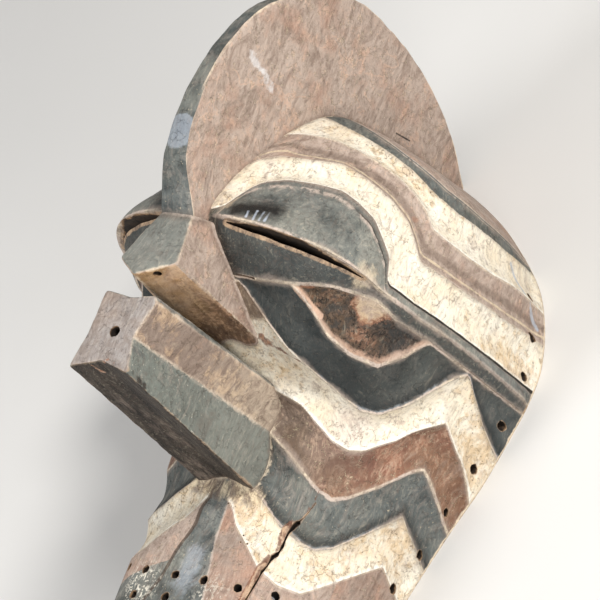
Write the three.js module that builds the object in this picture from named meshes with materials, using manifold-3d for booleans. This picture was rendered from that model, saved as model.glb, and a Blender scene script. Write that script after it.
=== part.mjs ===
// A carved wooden face mask with a tall crest, a square jutting mouth and banded cheeks.
// Millimetres. X points to the mask's left, Y up the face, Z forward. The flat back rim lies in
// the plane Z = 0, and the bridge of the nose is the point that the carving is measured from.
import * as THREE from "three";
import { mergeVertices } from "three/addons/utils/BufferGeometryUtils.js";
import Module from "manifold-3d";

// Driving dimensions
const RIM_DEPTH = 309; // from the bridge of the nose back to the rim plane
const WALL_AT_CROWN = 13;
const WALL_AT_FRONT = 18;
const WALL_AT_RIM = 13;
const BAND_TROUGH = 2.6; // depth of the shallow hollow along each painted band
const LID_SWELL = 15; // how far the upper eyelid stands out from the face
const LID_ROUNDING = 1.4; // above 1 the lid stands out most along its lower edge
const LOWER_LID_SWELL = 9;
const TEMPLE_BAR_HEIGHT = 5;

const COLUMNS = 22; // mesh columns from the middle of the face to the rim
const ROW_SAMPLES = 72;

// The face is lofted between a profile in the middle plane and the rim. Each station gives the
// profile point (up, forward), the rim point (out, up), the slope of the front of that section
// and how square its shoulder is. The first station is the crown, the last one the chin's edge.
const STATIONS = [
  [205, -309, 0, 205, 0, 2],
  [199, -262, 52, 180, 0.05, 2.2],
  [186, -190, 92, 148, 0.08, 2.2],
  [162, -118, 121, 117, 0.1, 2.3],
  [123, -76, 138, 86, 0.14, 2.6],
  [80, -46, 147, 60, 0.22, 2.9],
  [42, -24, 151, 38, 0.32, 3.2],
  [8, -12, 150, 12, 0.38, 3.3],
  [-20, -36, 147, -8, 0.36, 3.1],
  [-54, -80, 142, -36, 0.3, 2.8],
  [-72, -132, 136, -64, 0.14, 2.4],
  [-110, -165, 124, -104, 0.05, 2.35],
  [-160, -175, 112, -150, 0, 2.65],
  [-215, -175, 102, -192, 0, 3.2],
  [-262, -174, 92, -228, 0, 3.8],
];
const LAST_STATION = STATIONS.length - 1;
// Above this station the sections run straight down to the rim, below the other one they keep
// their height until they turn down the side
const STRAIGHT_STATION = 1;
const ROUND_STATION = 4.5;

// The carved lines that run from the middle of the face to the rim. Each is a list of
// [share of the way out to the rim, station], with straight stretches between.
const CARVED_LINES = {
  crown: [[0, 0], [1, 0]],
  darkBrowTop: [[0, 2.7], [0.2, 3.1], [0.31, 3.3], [0.47, 3.45], [0.63, 3.17], [0.79, 2.6], [1, 2.3]],
  whiteBrowTop: [[0, 3.4], [0.27, 3.72], [0.36, 3.83], [0.45, 3.96], [0.53, 3.94], [0.75, 3.41], [1, 2.75]],
  mauveBrowTop: [
    [0, 4.3], [0.05, 4.15], [0.14, 4.02], [0.28, 4.14], [0.4, 4.36], [0.49, 4.85], [0.62, 4.78],
    [0.81, 4.17], [1, 3.6],
  ],
  eyeBandTop: [
    [0, 5.6], [0.07, 4.9], [0.15, 4.73], [0.21, 4.6], [0.36, 4.83], [0.42, 5.09], [0.5, 5.86],
    [0.63, 5.72], [0.82, 5.33], [1, 4.75],
  ],
  lidOutline: [
    [0, 6.8], [0.05, 6.6], [0.075, 5.95], [0.14, 5.44], [0.26, 5.24], [0.31, 5.33], [0.36, 5.54],
    [0.43, 6.22], [0.45, 6.84], [0.64, 6.83], [0.76, 6.74], [1, 6.48],
  ],
  slit: [[0, 7], [0.1, 7.02], [0.25, 7.1], [0.38, 7.13], [0.46, 7.14], [0.55, 7.2], [1, 6.9]],
  lowerLid: [
    [0, 8], [0.15, 8.03], [0.24, 7.86], [0.33, 7.6], [0.4, 7.5], [0.5, 7.58], [0.76, 7.48],
    [1, 7.28],
  ],
  firstChevron: [
    [0, 8.4], [0.11, 8.25], [0.23, 8.97], [0.33, 9.49], [0.44, 9.86], [0.5, 9.74], [0.76, 7.75],
    [0.81, 8.06], [0.88, 8.53], [1, 9.1],
  ],
  secondChevron: [
    [0, 10], [0.15, 10.04], [0.24, 10.16], [0.37, 10.59], [0.43, 10.63], [0.49, 10.54],
    [0.58, 10.12], [0.735, 8.98], [0.81, 9.51], [1, 10.45],
  ],
  thirdChevron: [
    [0, 10.6], [0.14, 10.78], [0.28, 11.18], [0.44, 11.48], [0.5, 11.36], [0.6, 10.98],
    [0.72, 10.34], [0.83, 10.65], [1, 11.07],
  ],
  fourthChevron: [
    [0, 11.4], [0.16, 11.76], [0.29, 12.12], [0.46, 12.31], [0.53, 12.17], [0.74, 11.24],
    [0.8, 11.41], [1, 11.85],
  ],
  fifthChevron: [
    [0, 12.1], [0.12, 12.28], [0.28, 12.82], [0.49, 12.95], [0.62, 12.58], [0.78, 12.09],
    [1, 12.6],
  ],
  chinEdge: [[0, LAST_STATION], [1, LAST_STATION]],
};

// Mesh rows between one carved line and the next, and what the surface does there.
const ZONES = [
  { from: "crown", to: "darkBrowTop", rows: 6, form: "plain" },
  { from: "darkBrowTop", to: "whiteBrowTop", rows: 2, form: "trough" },
  { from: "whiteBrowTop", to: "mauveBrowTop", rows: 3, form: "trough" },
  { from: "mauveBrowTop", to: "eyeBandTop", rows: 4, form: "trough" },
  { from: "eyeBandTop", to: "lidOutline", rows: 4, form: "trough" },
  { from: "lidOutline", to: "slit", rows: 5, form: "upperLid" },
  { from: "slit", to: "lowerLid", rows: 4, form: "lowerLid" },
  { from: "lowerLid", to: "firstChevron", rows: 6, form: "trough" },
  { from: "firstChevron", to: "secondChevron", rows: 4, form: "trough" },
  { from: "secondChevron", to: "thirdChevron", rows: 4, form: "trough" },
  { from: "thirdChevron", to: "fourthChevron", rows: 4, form: "trough" },
  { from: "fourthChevron", to: "fifthChevron", rows: 4, form: "trough" },
  { from: "fifthChevron", to: "chinEdge", rows: 4, form: "plain" },
];

// Where the eyelid and the temple bar lie along a carved line
const LID_START = 0.055;
const LID_END = 0.455;
const BAR_START = 0.43;
const RELIEF_START = 0.06;
const RELIEF_END = 0.94;
const FULL_TROUGH_WIDTH = 0.7; // a band narrower than this, in stations, is cut shallower

// The crest, seen from the side as (forward, up) points over its front, top and back
const CREST_OUTLINE = [
  [-6, -8], [13, 13], [25, 27], [33, 43], [38.5, 78], [35.5, 118], [15.5, 172], [-28, 220],
  [-88, 252], [-140, 258], [-185, 256.5], [-232, 247], [-272, 231], [-309, 207],
];
const CREST_FOOT = [[-309, 190], [-230, 170], [-120, 100], [-60, 20]];
// Half of its thickness at each height: it flares where it runs down onto the bridge
const CREST_HALF_THICKNESS = [
  [6, 270], [6.6, 225], [7.5, 120], [9.5, 50], [11.5, 28], [15.6, 2], [15.6, -14],
];

// The nose: a dark front facet between two ridges, flanks that spread back to the face, and a
// flat underside. Each corner is [out, up, forward], the back ones lie inside the face.
const NOSE_FRONT = { bridge: [15.6, 2, 0], corner: [29, -47, 10], tip: [0, -65, 20] };
const NOSE_BACK = { bridge: [36, 16, -66], corner: [42, -58, -122], tip: [0, -63, -122] };

// The mouth: a square box with a hollow along each side, tapering forward. Corners of its
// section as (out, up), from the upper left one over the top and round, at its end and where it
// is buried in the face.
const MOUTH_END = {
  forward: 12,
  corners: [
    [27.6, -81], [0, -83], [-26, -80], [-25, -112], [-29.8, -142.7], [0, -134], [29.8, -142.7],
    [20, -112],
  ],
};
const MOUTH_BASE = {
  forward: -185,
  corners: [
    [41.5, -69], [0, -76], [-40, -69], [-34, -99], [-29, -145.7], [0, -139], [29, -145.7],
    [32, -98.6],
  ],
};
const MOUTH_BORE = { up: -109, radius: 4.6, depth: 40 };
const MOUTH_CAVITY = { front: -18, back: -240, half: 13, top: -92, bottom: -126, flare: 1.2 };

// The nostrils, drilled up into the underside of the nose
const NOSTRIL = { out: 13.5, up: -57, forward: 9, radius: 2.6, depth: 14, lean: 0.5 };

// Each eye slit runs just under the edge of the upper lid. Its ends are [out, up, forward].
const SLIT_INNER_END = [28, 3, -19];
const SLIT_OUTER_END = [121, -2.5, -84];
const SLIT_OPENING = 6;
const SLIT_DEPTH = 90;

// Lacing holes near the rim of both sides and across the chin, as [station, share of the way
// out]; a chin hole with a share below zero is on the mask's right.
const HOLE_RADIUS = 3;
const HOLE_DEPTH = 60;
const RIM_HOLES = [
  [3.66, 0.917], [4.86, 0.934], [6.27, 0.949], [8.15, 0.958], [9.66, 0.936], [10.76, 0.926],
  [11.61, 0.925], [12.33, 0.89], [12.95, 0.8], [13.15, 0.6],
];
const CHIN_HOLES = [
  [13.22, 0.087], [13.23, 0.24], [13.2, 0.389], [13.22, -0.055], [13.23, -0.2], [13.2, -0.36],
];

function mix(a, b, share) {
  return a + (b - a) * share;
}

function smooth(edge0, edge1, value) {
  const share = Math.min(1, Math.max(0, (value - edge0) / (edge1 - edge0)));
  return share * share * (3 - 2 * share);
}

// One number of the station table at a place between stations, on a smooth curve through them
function stationValue(column, place) {
  const i = Math.min(LAST_STATION - 1, Math.max(0, Math.floor(place)));
  const f = place - i;
  const at = (n) => STATIONS[n][column];
  const p1 = at(i);
  const p2 = at(i + 1);
  const p0 = i > 0 ? at(i - 1) : 2 * p1 - p2;
  const p3 = i + 2 <= LAST_STATION ? at(i + 2) : 2 * p2 - p1;
  const cubic = (3 * p1 - p0 - 3 * p2 + p3) * f ** 3;
  const square = (2 * p0 - 5 * p1 + 4 * p2 - p3) * f ** 2;
  return 0.5 * (2 * p1 + (p2 - p0) * f + square + cubic);
}

// The unit direction in which two columns of the station table run on at a place
function direction(columnA, columnB, place) {
  const step = 0.05;
  const before = Math.max(0, place - step);
  const after = Math.min(LAST_STATION, place + step);
  const a = stationValue(columnA, after) - stationValue(columnA, before);
  const b = stationValue(columnB, after) - stationValue(columnB, before);
  const length = Math.hypot(a, b);
  return [a / length, b / length];
}

// The section of the face at a station: its profile point, rim point and shape.
// With a wall it is the section of the hollow instead.
function section(place, hollow) {
  const [profileUp, profileForward, rimOut, rimUp, slope, squareness] = [0, 1, 2, 3, 4, 5].map(
    (column) => stationValue(column, place),
  );
  const roundness = smooth(STRAIGHT_STATION, ROUND_STATION, place);
  const made = { profileUp, profileForward, rimUp, slope, squareness, roundness };
  made.rimOut = Math.max(0, rimOut);
  if (hollow) {
    const front = mix(WALL_AT_CROWN, WALL_AT_FRONT, smooth(0, 2, place));
    const [up, forward] = direction(0, 1, place);
    made.profileUp = Math.max(STATIONS[LAST_STATION][0], profileUp - forward * front);
    made.profileForward = Math.max(-RIM_DEPTH, profileForward + up * front);
    const [out, along] = direction(2, 3, place);
    made.rimOut = Math.max(0, made.rimOut + along * WALL_AT_RIM);
    made.rimUp -= out * WALL_AT_RIM;
  }
  return made;
}

// Points of one section, evenly spaced along it, from the middle plane to the rim
function sectionCurve(shape) {
  const points = [];
  const power = 2 / shape.squareness;
  const drop = shape.profileForward + RIM_DEPTH - shape.slope * shape.rimOut;
  for (let i = 0; i <= ROW_SAMPLES; i += 1) {
    const angle = ((i / ROW_SAMPLES) * Math.PI) / 2;
    const outShare = Math.sin(angle) ** power;
    const round = 1 - Math.max(0, Math.cos(angle)) ** power;
    const out = shape.rimOut * outShare;
    const up = mix(shape.profileUp, shape.rimUp, mix(outShare, round, shape.roundness));
    const forward = shape.profileForward - shape.slope * out - drop * round;
    points.push(new THREE.Vector3(out, up, forward));
  }
  const lengths = [0];
  for (let i = 1; i < points.length; i += 1) {
    lengths.push(lengths[i - 1] + points[i].distanceTo(points[i - 1]));
  }
  return (share) => {
    const target = share * lengths.at(-1);
    let i = 1;
    while (i < ROW_SAMPLES && lengths[i] < target) i += 1;
    const span = lengths[i] - lengths[i - 1];
    return points[i - 1].clone().lerp(points[i], span > 0 ? (target - lengths[i - 1]) / span : 0);
  };
}

function facePoint(place, share) {
  return sectionCurve(section(place, false))(share);
}

function faceNormal(place, share) {
  const reach = 0.02;
  const higher = facePoint(Math.max(0.02, place - 0.05), share);
  const lower = facePoint(Math.min(LAST_STATION, place + 0.05), share);
  const outer = facePoint(place, Math.min(1, share + reach));
  const nearer = facePoint(place, Math.max(0, share - reach));
  return outer.sub(nearer).cross(higher.sub(lower)).normalize();
}

function lineStation(name, share) {
  const knots = CARVED_LINES[name];
  let i = 1;
  while (i < knots.length - 1 && knots[i][0] < share) i += 1;
  const [[s0, k0], [s1, k1]] = [knots[i - 1], knots[i]];
  return mix(k0, k1, Math.min(1, Math.max(0, (share - s0) / (s1 - s0))));
}

// How far the carving stands out from the smooth face, part way down a zone
function relief(row, share) {
  const { zone, part } = row;
  if (zone.form === "plain") return 0;
  if (zone.form === "trough") {
    const fade = smooth(RELIEF_START, RELIEF_START + 0.05, share) * smooth(1, RELIEF_END, share);
    const width = lineStation(zone.to, share) - lineStation(zone.from, share);
    return -BAND_TROUGH * Math.sin(Math.PI * part) * fade * smooth(0, FULL_TROUGH_WIDTH, width);
  }
  const along = Math.min(1, Math.max(0, (share - LID_START) / (LID_END - LID_START)));
  const lid = Math.sin(Math.PI * along) ** 0.6;
  const barEnds = smooth(BAR_START, BAR_START + 0.05, share) * smooth(1, RELIEF_END, share);
  const bar = TEMPLE_BAR_HEIGHT * barEnds;
  if (zone.form === "upperLid") {
    return LID_SWELL * lid * part ** LID_ROUNDING + bar * part ** 0.5;
  }
  return LOWER_LID_SWELL * lid * (1 - part) + bar * (1 - part) ** 0.5;
}

// The rows of the face mesh: for each, the zone and how far down the zone it lies
const ROWS = [{ zone: ZONES[0], part: 0 }];
for (const zone of ZONES) {
  for (let i = 1; i <= zone.rows; i += 1) ROWS.push({ zone, part: i / zone.rows });
}

function rowStation(row, share) {
  return mix(lineStation(row.zone.from, share), lineStation(row.zone.to, share), row.part);
}

function outerVertex(row, column) {
  const share = Math.abs(column) / COLUMNS;
  const place = rowStation(row, share);
  const point = facePoint(place, share);
  if (share < 1) {
    point.addScaledVector(faceNormal(place, share), relief(row, share));
  }
  if (column < 0) point.x = -point.x;
  if (column === 0) point.x = 0;
  return point;
}

// The hollow doesn't follow the carved lines: its rows stay at the station they have at the rim
function hollowVertex(row, column) {
  const share = Math.abs(column) / COLUMNS;
  const point = sectionCurve(section(rowStation(row, 1), true))(share);
  if (column < 0) point.x = -point.x;
  if (column === 0) point.x = 0;
  return point;
}

// A grid of vertices from the crown down, whose first row is the single crown point
function grid(vertex, every) {
  const rows = [];
  for (let r = 0; r < ROWS.length; r += every) {
    const line = [];
    for (let c = -COLUMNS; c <= COLUMNS; c += every) line.push(vertex(ROWS[r], c));
    rows.push(line);
  }
  rows[0] = rows[0].map(() => rows[0][(rows[0].length - 1) / 2]);
  return rows;
}

function pushTriangle(list, a, b, c) {
  for (const point of [a, b, c]) list.push(point.x, point.y, point.z);
}

function pushGrid(list, rows, outward) {
  for (let r = 1; r < rows.length; r += 1) {
    for (let c = 1; c < rows[r].length; c += 1) {
      const corners = [rows[r - 1][c - 1], rows[r - 1][c], rows[r][c], rows[r][c - 1]];
      if (!outward) corners.reverse();
      pushTriangle(list, corners[0], corners[2], corners[1]);
      pushTriangle(list, corners[0], corners[3], corners[2]);
    }
  }
}

// The free edge of a grid: down its left rim, along the chin and up its right rim
function edgeLoop(rows) {
  const last = rows.length - 1;
  const left = rows.map((row) => row[0]);
  const chin = rows[last].slice(1);
  const right = rows.slice(0, last).map((row) => row.at(-1)).reverse();
  return [...left, ...chin, ...right];
}

const wasm = await Module();
wasm.setup();

function solidFromGeometry(geometry) {
  const plain = geometry.index ? geometry.toNonIndexed() : geometry.clone();
  plain.deleteAttribute("normal");
  plain.deleteAttribute("uv");
  const merged = mergeVertices(plain, 1e-3);
  const vertProperties = new Float32Array(merged.attributes.position.array);
  const kept = [];
  for (let i = 0; i < merged.index.count; i += 3) {
    const [a, b, c] = [0, 1, 2].map((n) => merged.index.getX(i + n));
    if (a !== b && b !== c && c !== a) kept.push(a, b, c);
  }
  return new wasm.Manifold(new wasm.Mesh({ numProp: 3, vertProperties, triVerts: new Uint32Array(kept) }));
}

function solidFromTriangles(list) {
  const geometry = new THREE.BufferGeometry();
  geometry.setAttribute("position", new THREE.Float32BufferAttribute(list, 3));
  return solidFromGeometry(geometry);
}

// The wall of the face: its carved outside, its smooth hollow and the flat rim between them
function faceShell(outer, hollow) {
  const list = [];
  pushGrid(list, outer, true);
  pushGrid(list, hollow, false);
  const outerEdge = edgeLoop(outer);
  const hollowEdge = edgeLoop(hollow);
  for (let i = 0; i < hollowEdge.length - 1; i += 1) {
    const [a, b, c] = outerEdge.slice(2 * i, 2 * i + 3);
    const [d, e] = hollowEdge.slice(i, i + 2);
    pushTriangle(list, a, d, b);
    pushTriangle(list, b, d, e);
    pushTriangle(list, b, e, c);
  }
  return solidFromTriangles(list);
}

// The space inside, closed at the back, which trims whatever is joined to the shell
function hollowSpace(hollow) {
  const list = [];
  pushGrid(list, hollow, true);
  const edge = edgeLoop(hollow);
  const back = new THREE.Vector3(0, -20, -RIM_DEPTH);
  for (let i = 0; i < edge.length - 1; i += 1) pushTriangle(list, back, edge[i + 1], edge[i]);
  return solidFromTriangles(list);
}

function crest() {
  const outline = new THREE.Shape();
  outline.moveTo(...CREST_OUTLINE[0]);
  outline.splineThru(CREST_OUTLINE.slice(1).map(([x, y]) => new THREE.Vector2(x, y)));
  for (const [x, y] of [...CREST_FOOT]) outline.lineTo(x, y);
  const room = 20;
  const plate = new THREE.ExtrudeGeometry(outline, {
    depth: 2 * room,
    bevelEnabled: false,
    curveSegments: 4,
  });
  plate.rotateY(-Math.PI / 2);
  plate.translate(room, 0, 0);
  const right = CREST_HALF_THICKNESS.map(([x, y]) => new THREE.Vector2(x, y));
  const left = right.map((point) => new THREE.Vector2(-point.x, point.y)).reverse();
  const across = new THREE.ExtrudeGeometry(new THREE.Shape([...right, ...left].reverse()), {
    depth: 400,
    bevelEnabled: false,
  });
  across.translate(0, 0, -340);
  return solidFromGeometry(plate).intersect(solidFromGeometry(across));
}

// A closed body between two outlines with the same number of corners, front one first.
// Seen from the front, the corners go round anticlockwise.
function loft(front, back, steps) {
  const list = [];
  const rings = [];
  for (let i = 0; i <= steps; i += 1) {
    rings.push(front.map((corner, n) => corner.clone().lerp(back[n], i / steps)));
  }
  const centre = (ring) =>
    ring.reduce((sum, point) => sum.add(point), new THREE.Vector3()).divideScalar(ring.length);
  const [frontMiddle, backMiddle] = [centre(front), centre(back)];
  front.forEach((corner, n) => {
    const next = (n + 1) % front.length;
    pushTriangle(list, frontMiddle, corner, front[next]);
    pushTriangle(list, backMiddle, back[next], back[n]);
    for (let i = 1; i <= steps; i += 1) {
      pushTriangle(list, rings[i - 1][n], rings[i][n], rings[i][next]);
      pushTriangle(list, rings[i - 1][n], rings[i][next], rings[i - 1][next]);
    }
  });
  return solidFromTriangles(list);
}

// The same ring with its edges split, so that a side that isn't flat is carved as a smooth one
function splitEdges(ring, pieces) {
  return ring.flatMap((corner, n) => {
    const next = ring[(n + 1) % ring.length];
    return Array.from({ length: pieces }, (_, i) => corner.clone().lerp(next, i / pieces));
  });
}

function nose() {
  const ring = ({ bridge, corner, tip }) =>
    splitEdges(
      [
        new THREE.Vector3(bridge[0], bridge[1], bridge[2]),
        new THREE.Vector3(-bridge[0], bridge[1], bridge[2]),
        new THREE.Vector3(-corner[0], corner[1], corner[2]),
        new THREE.Vector3(tip[0], tip[1], tip[2]),
        new THREE.Vector3(corner[0], corner[1], corner[2]),
      ],
      4,
    );
  return loft(ring(NOSE_FRONT), ring(NOSE_BACK), 6);
}

function mouth() {
  const ring = ({ forward, corners }) => corners.map(([x, y]) => new THREE.Vector3(x, y, forward));
  return loft(splitEdges(ring(MOUTH_END), 2), splitEdges(ring(MOUTH_BASE), 2), 4);
}

function mouthCavity() {
  const { half, top, bottom, flare } = MOUTH_CAVITY;
  const middle = (top + bottom) / 2;
  const ring = (forward, grow) =>
    [[half, top], [-half, top], [-half, bottom], [half, bottom]].map(
      ([x, y]) => new THREE.Vector3(x * grow, mix(middle, y, grow), forward),
    );
  return loft(ring(MOUTH_CAVITY.front, 1), ring(MOUTH_CAVITY.back, flare), 1);
}

function bore(radius, length, sides) {
  const geometry = new THREE.CylinderGeometry(radius, radius, length, sides);
  geometry.rotateX(Math.PI / 2);
  return geometry;
}

function mouthBore() {
  const geometry = bore(MOUTH_BORE.radius, 2 * MOUTH_BORE.depth, 14);
  geometry.translate(0, MOUTH_BORE.up, MOUTH_END.forward);
  return solidFromGeometry(geometry);
}

function nostril(side) {
  const geometry = bore(NOSTRIL.radius, NOSTRIL.depth, 8);
  geometry.rotateX(Math.PI / 2 + NOSTRIL.lean);
  geometry.translate(side * NOSTRIL.out, NOSTRIL.up, NOSTRIL.forward);
  return solidFromGeometry(geometry);
}

function eyeSlit(side) {
  const inner = new THREE.Vector3(...SLIT_INNER_END);
  const outer = new THREE.Vector3(...SLIT_OUTER_END);
  const half = inner.distanceTo(outer) / 2;
  const shape = new THREE.Shape();
  shape.moveTo(-half, 0);
  shape.quadraticCurveTo(0, -SLIT_OPENING, half, 0);
  shape.quadraticCurveTo(0, SLIT_OPENING, -half, 0);
  const geometry = new THREE.ExtrudeGeometry(shape, {
    depth: SLIT_DEPTH,
    bevelEnabled: false,
    curveSegments: 8,
  });
  geometry.translate(0, 0, -SLIT_DEPTH / 2);
  const along = outer.clone().sub(inner).normalize();
  const up = new THREE.Vector3(0, 1, 0);
  const through = along.clone().cross(up).normalize();
  const across = through.clone().cross(along);
  geometry.applyMatrix4(new THREE.Matrix4().makeBasis(along, across, through));
  const middle = inner.lerp(outer, 0.5);
  geometry.translate(middle.x, middle.y, middle.z);
  return side > 0 ? solidFromGeometry(geometry) : solidFromGeometry(geometry).mirror([1, 0, 0]);
}

function lacingHole(place, share) {
  const side = Math.sign(share);
  const normal = faceNormal(place, Math.abs(share));
  const point = facePoint(place, Math.abs(share));
  const direction = new THREE.Vector3(side * normal.x, normal.y, normal.z);
  const forward = new THREE.Vector3(0, 0, 1);
  const geometry = bore(HOLE_RADIUS, HOLE_DEPTH, 8);
  geometry.applyQuaternion(new THREE.Quaternion().setFromUnitVectors(forward, direction));
  geometry.translate(side * point.x, point.y, point.z);
  return solidFromGeometry(geometry);
}

function carveMask() {
  const outer = grid(outerVertex, 1);
  const hollow = grid(hollowVertex, 2);
  let solid = faceShell(outer, hollow).add(crest()).add(nose()).add(mouth());
  solid = solid.subtract(hollowSpace(hollow)).subtract(mouthCavity()).subtract(mouthBore());
  for (const side of [-1, 1]) {
    solid = solid.subtract(eyeSlit(side)).subtract(nostril(side));
    for (const [place, share] of RIM_HOLES) solid = solid.subtract(lacingHole(place, side * share));
  }
  for (const [place, share] of CHIN_HOLES) solid = solid.subtract(lacingHole(place, share));
  return solid;
}

function geometryFromSolid(solid) {
  const { vertProperties, triVerts } = solid.getMesh();
  const geometry = new THREE.BufferGeometry();
  geometry.setAttribute("position", new THREE.BufferAttribute(vertProperties, 3));
  geometry.setIndex(new THREE.BufferAttribute(triVerts, 1));
  geometry.computeBoundingBox();
  return geometry;
}

const paintedWood = new THREE.MeshStandardMaterial({ color: 0xa08c7a, roughness: 0.85, metalness: 0 });

const mask = new THREE.Mesh(geometryFromSolid(carveMask()), paintedWood);
mask.name = "mask";
const { min, max } = mask.geometry.boundingBox;
mask.position.set(0, -(min.y + max.y) / 2, RIM_DEPTH);

const part = new THREE.Group();
part.add(mask);

export default part;
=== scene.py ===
# %% [markdown]
# # A carved wooden mask with painted bands
# The object is one block of wood: a long face with a tall crest over it, a wedge of a nose, a
# square mouth that juts as far as the nose, hooded eyes with narrow slits, and cheeks carved in
# zigzag bands. The back is hollowed out, and small holes near the rim once held a costume.
# This lesson builds it the way a carver would: first the mass of the head, then crest, nose and
# mouth left standing on it, then the hollow, the slits and the holes cut away, and the paint last.
# All measures are in millimetres from the bridge of the nose: out to the mask's left, up the
# face, and forward. They turn into metres in the part's own frame at the very end.

import math

import bmesh
import bpy
import numpy as np
from mathutils import Matrix, Vector, noise
from mathutils.kdtree import KDTree


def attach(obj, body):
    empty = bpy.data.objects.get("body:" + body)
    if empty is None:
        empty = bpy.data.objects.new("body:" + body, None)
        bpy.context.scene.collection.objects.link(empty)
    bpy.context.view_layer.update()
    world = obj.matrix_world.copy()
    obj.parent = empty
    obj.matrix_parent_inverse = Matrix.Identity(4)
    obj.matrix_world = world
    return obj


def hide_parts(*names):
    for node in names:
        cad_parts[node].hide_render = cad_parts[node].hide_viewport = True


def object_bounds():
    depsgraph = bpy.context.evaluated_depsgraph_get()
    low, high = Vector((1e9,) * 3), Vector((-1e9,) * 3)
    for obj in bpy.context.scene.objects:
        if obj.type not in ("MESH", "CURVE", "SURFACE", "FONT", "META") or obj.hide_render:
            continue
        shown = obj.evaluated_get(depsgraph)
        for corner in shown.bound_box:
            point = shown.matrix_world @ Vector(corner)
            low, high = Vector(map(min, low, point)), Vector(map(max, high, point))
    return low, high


MM = 1000.0
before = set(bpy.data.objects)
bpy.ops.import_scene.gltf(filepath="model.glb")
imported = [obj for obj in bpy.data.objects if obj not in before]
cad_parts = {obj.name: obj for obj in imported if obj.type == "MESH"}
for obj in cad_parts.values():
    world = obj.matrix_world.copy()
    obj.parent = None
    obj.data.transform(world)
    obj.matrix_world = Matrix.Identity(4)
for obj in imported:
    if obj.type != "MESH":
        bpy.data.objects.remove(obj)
cad_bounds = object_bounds()
print("CAD box", [tuple(round(c, 4) for c in corner) for corner in cad_bounds])

# %% [markdown]
# ## The mass of the face
# The face is lofted over sections that run from the middle line back to the rim. Each station
# gives the middle point (up, forward), the rim point (out, up), how the section slopes at its
# front, and how square its shoulder is. A smooth curve through the stations fills the gaps.

# %% Stations of the face
RIM = -309.0
CHIN = -262.0
STATIONS = np.array([
    [205, -309, 0, 205, 0.00, 2.0],
    [199, -262, 52, 180, 0.05, 2.2],
    [186, -190, 92, 148, 0.08, 2.2],
    [162, -118, 121, 117, 0.10, 2.3],
    [123, -76, 138, 86, 0.14, 2.6],
    [80, -46, 147, 60, 0.22, 2.9],
    [42, -24, 151, 38, 0.32, 3.2],
    [8, -12, 150, 12, 0.38, 3.3],
    [-20, -36, 147, -8, 0.36, 3.1],
    [-54, -80, 142, -36, 0.30, 2.8],
    [-72, -132, 136, -64, 0.14, 2.4],
    [-110, -165, 124, -104, 0.05, 2.35],
    [-160, -175, 112, -150, 0.00, 2.65],
    [-215, -175, 102, -192, 0.00, 3.2],
    [-262, -174, 92, -228, 0.00, 3.8],
])
LAST = len(STATIONS) - 1
FRONT_WALL, CROWN_WALL, RIM_WALL = 18.0, 13.0, 13.0
UP_SHIFT = -CHIN + cad_bounds[0].y * MM


def ease(low, high, x):
    share = np.clip((x - low) / (high - low), 0, 1)
    return share * share * (3 - 2 * share)


def smooth(knots, place):
    last = len(knots) - 1
    i = np.clip(place.astype(int), 0, last - 1)
    f = (place - i)[:, None]
    p1, p2 = knots[i], knots[i + 1]
    p0 = np.where((i > 0)[:, None], knots[np.maximum(i - 1, 0)], 2 * p1 - p2)
    p3 = np.where((i < last - 1)[:, None], knots[np.minimum(i + 2, last)], 2 * p2 - p1)
    square = (2 * p0 - 5 * p1 + 4 * p2 - p3) * f**2
    cubic = (3 * p1 - p0 - 3 * p2 + p3) * f**3
    return 0.5 * (2 * p1 + (p2 - p0) * f + square + cubic)


def to_row(points):
    return (np.array(points, float) + [0, UP_SHIFT, -RIM]) / MM


print(len(STATIONS), "stations, the bridge is", round(UP_SHIFT, 2), "mm above the middle")

# %% [markdown]
# Each section is a quarter of a rounded square, spaced evenly along its length, so a point of
# the face has two simple coordinates: the station down the face and the share of the way out to
# the rim. The same sections, moved in by the wall, give the hollow.

# %% Surface tables for the outside and the hollow
FINE_STATIONS, FINE_SHARES = 281, 161


def spread_evenly(curve, count):
    length = np.concatenate([[0], np.cumsum(np.linalg.norm(np.diff(curve, axis=0), axis=1))])
    even = np.linspace(0, length[-1], count)
    return np.stack([np.interp(even, length, column) for column in curve.T], 1)


def section_table(hollow):
    place = np.linspace(0, LAST, FINE_STATIONS)
    before, after = np.maximum(place - 0.05, 0), np.minimum(place + 0.05, LAST)
    step = smooth(STATIONS, after) - smooth(STATIONS, before)
    up, forward, rim_out, rim_up, slope, square = smooth(STATIONS, place).T.copy()
    if hollow:
        wall = CROWN_WALL + (FRONT_WALL - CROWN_WALL) * ease(0, 2, place)
        run = np.hypot(step[:, 0], step[:, 1])
        up = np.maximum(CHIN, up - step[:, 1] / run * wall)
        forward = np.maximum(RIM, forward + step[:, 0] / run * wall)
        run = np.hypot(step[:, 2], step[:, 3])
        rim_out = rim_out + step[:, 3] / run * RIM_WALL
        rim_up = rim_up - step[:, 2] / run * RIM_WALL
    rim_out = np.maximum(rim_out, 0)
    angle = np.linspace(0, math.pi / 2, 241)
    table = np.zeros((FINE_STATIONS, FINE_SHARES, 3))
    for i in range(FINE_STATIONS):
        power = 2 / square[i]
        share = np.sin(angle) ** power
        fall = 1 - np.maximum(np.cos(angle), 0) ** power
        lean = ease(1, 4.5, place[i])
        out = rim_out[i] * share
        high = up[i] + (rim_up[i] - up[i]) * (share * (1 - lean) + fall * lean)
        ahead = forward[i] - slope[i] * out - (forward[i] - RIM - slope[i] * rim_out[i]) * fall
        table[i] = spread_evenly(np.stack([out, high, ahead], 1), FINE_SHARES)
    return table


OUTSIDE = section_table(False)
HOLLOW = section_table(True)
outward = np.cross(np.gradient(OUTSIDE, axis=1), -np.gradient(OUTSIDE, axis=0))
outward[0] = outward[1]
OUTWARD = outward / np.maximum(np.linalg.norm(outward, axis=2, keepdims=True), 1e-9)
ARC = np.linalg.norm(np.diff(OUTSIDE, axis=1), axis=2).sum(1)


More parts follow.
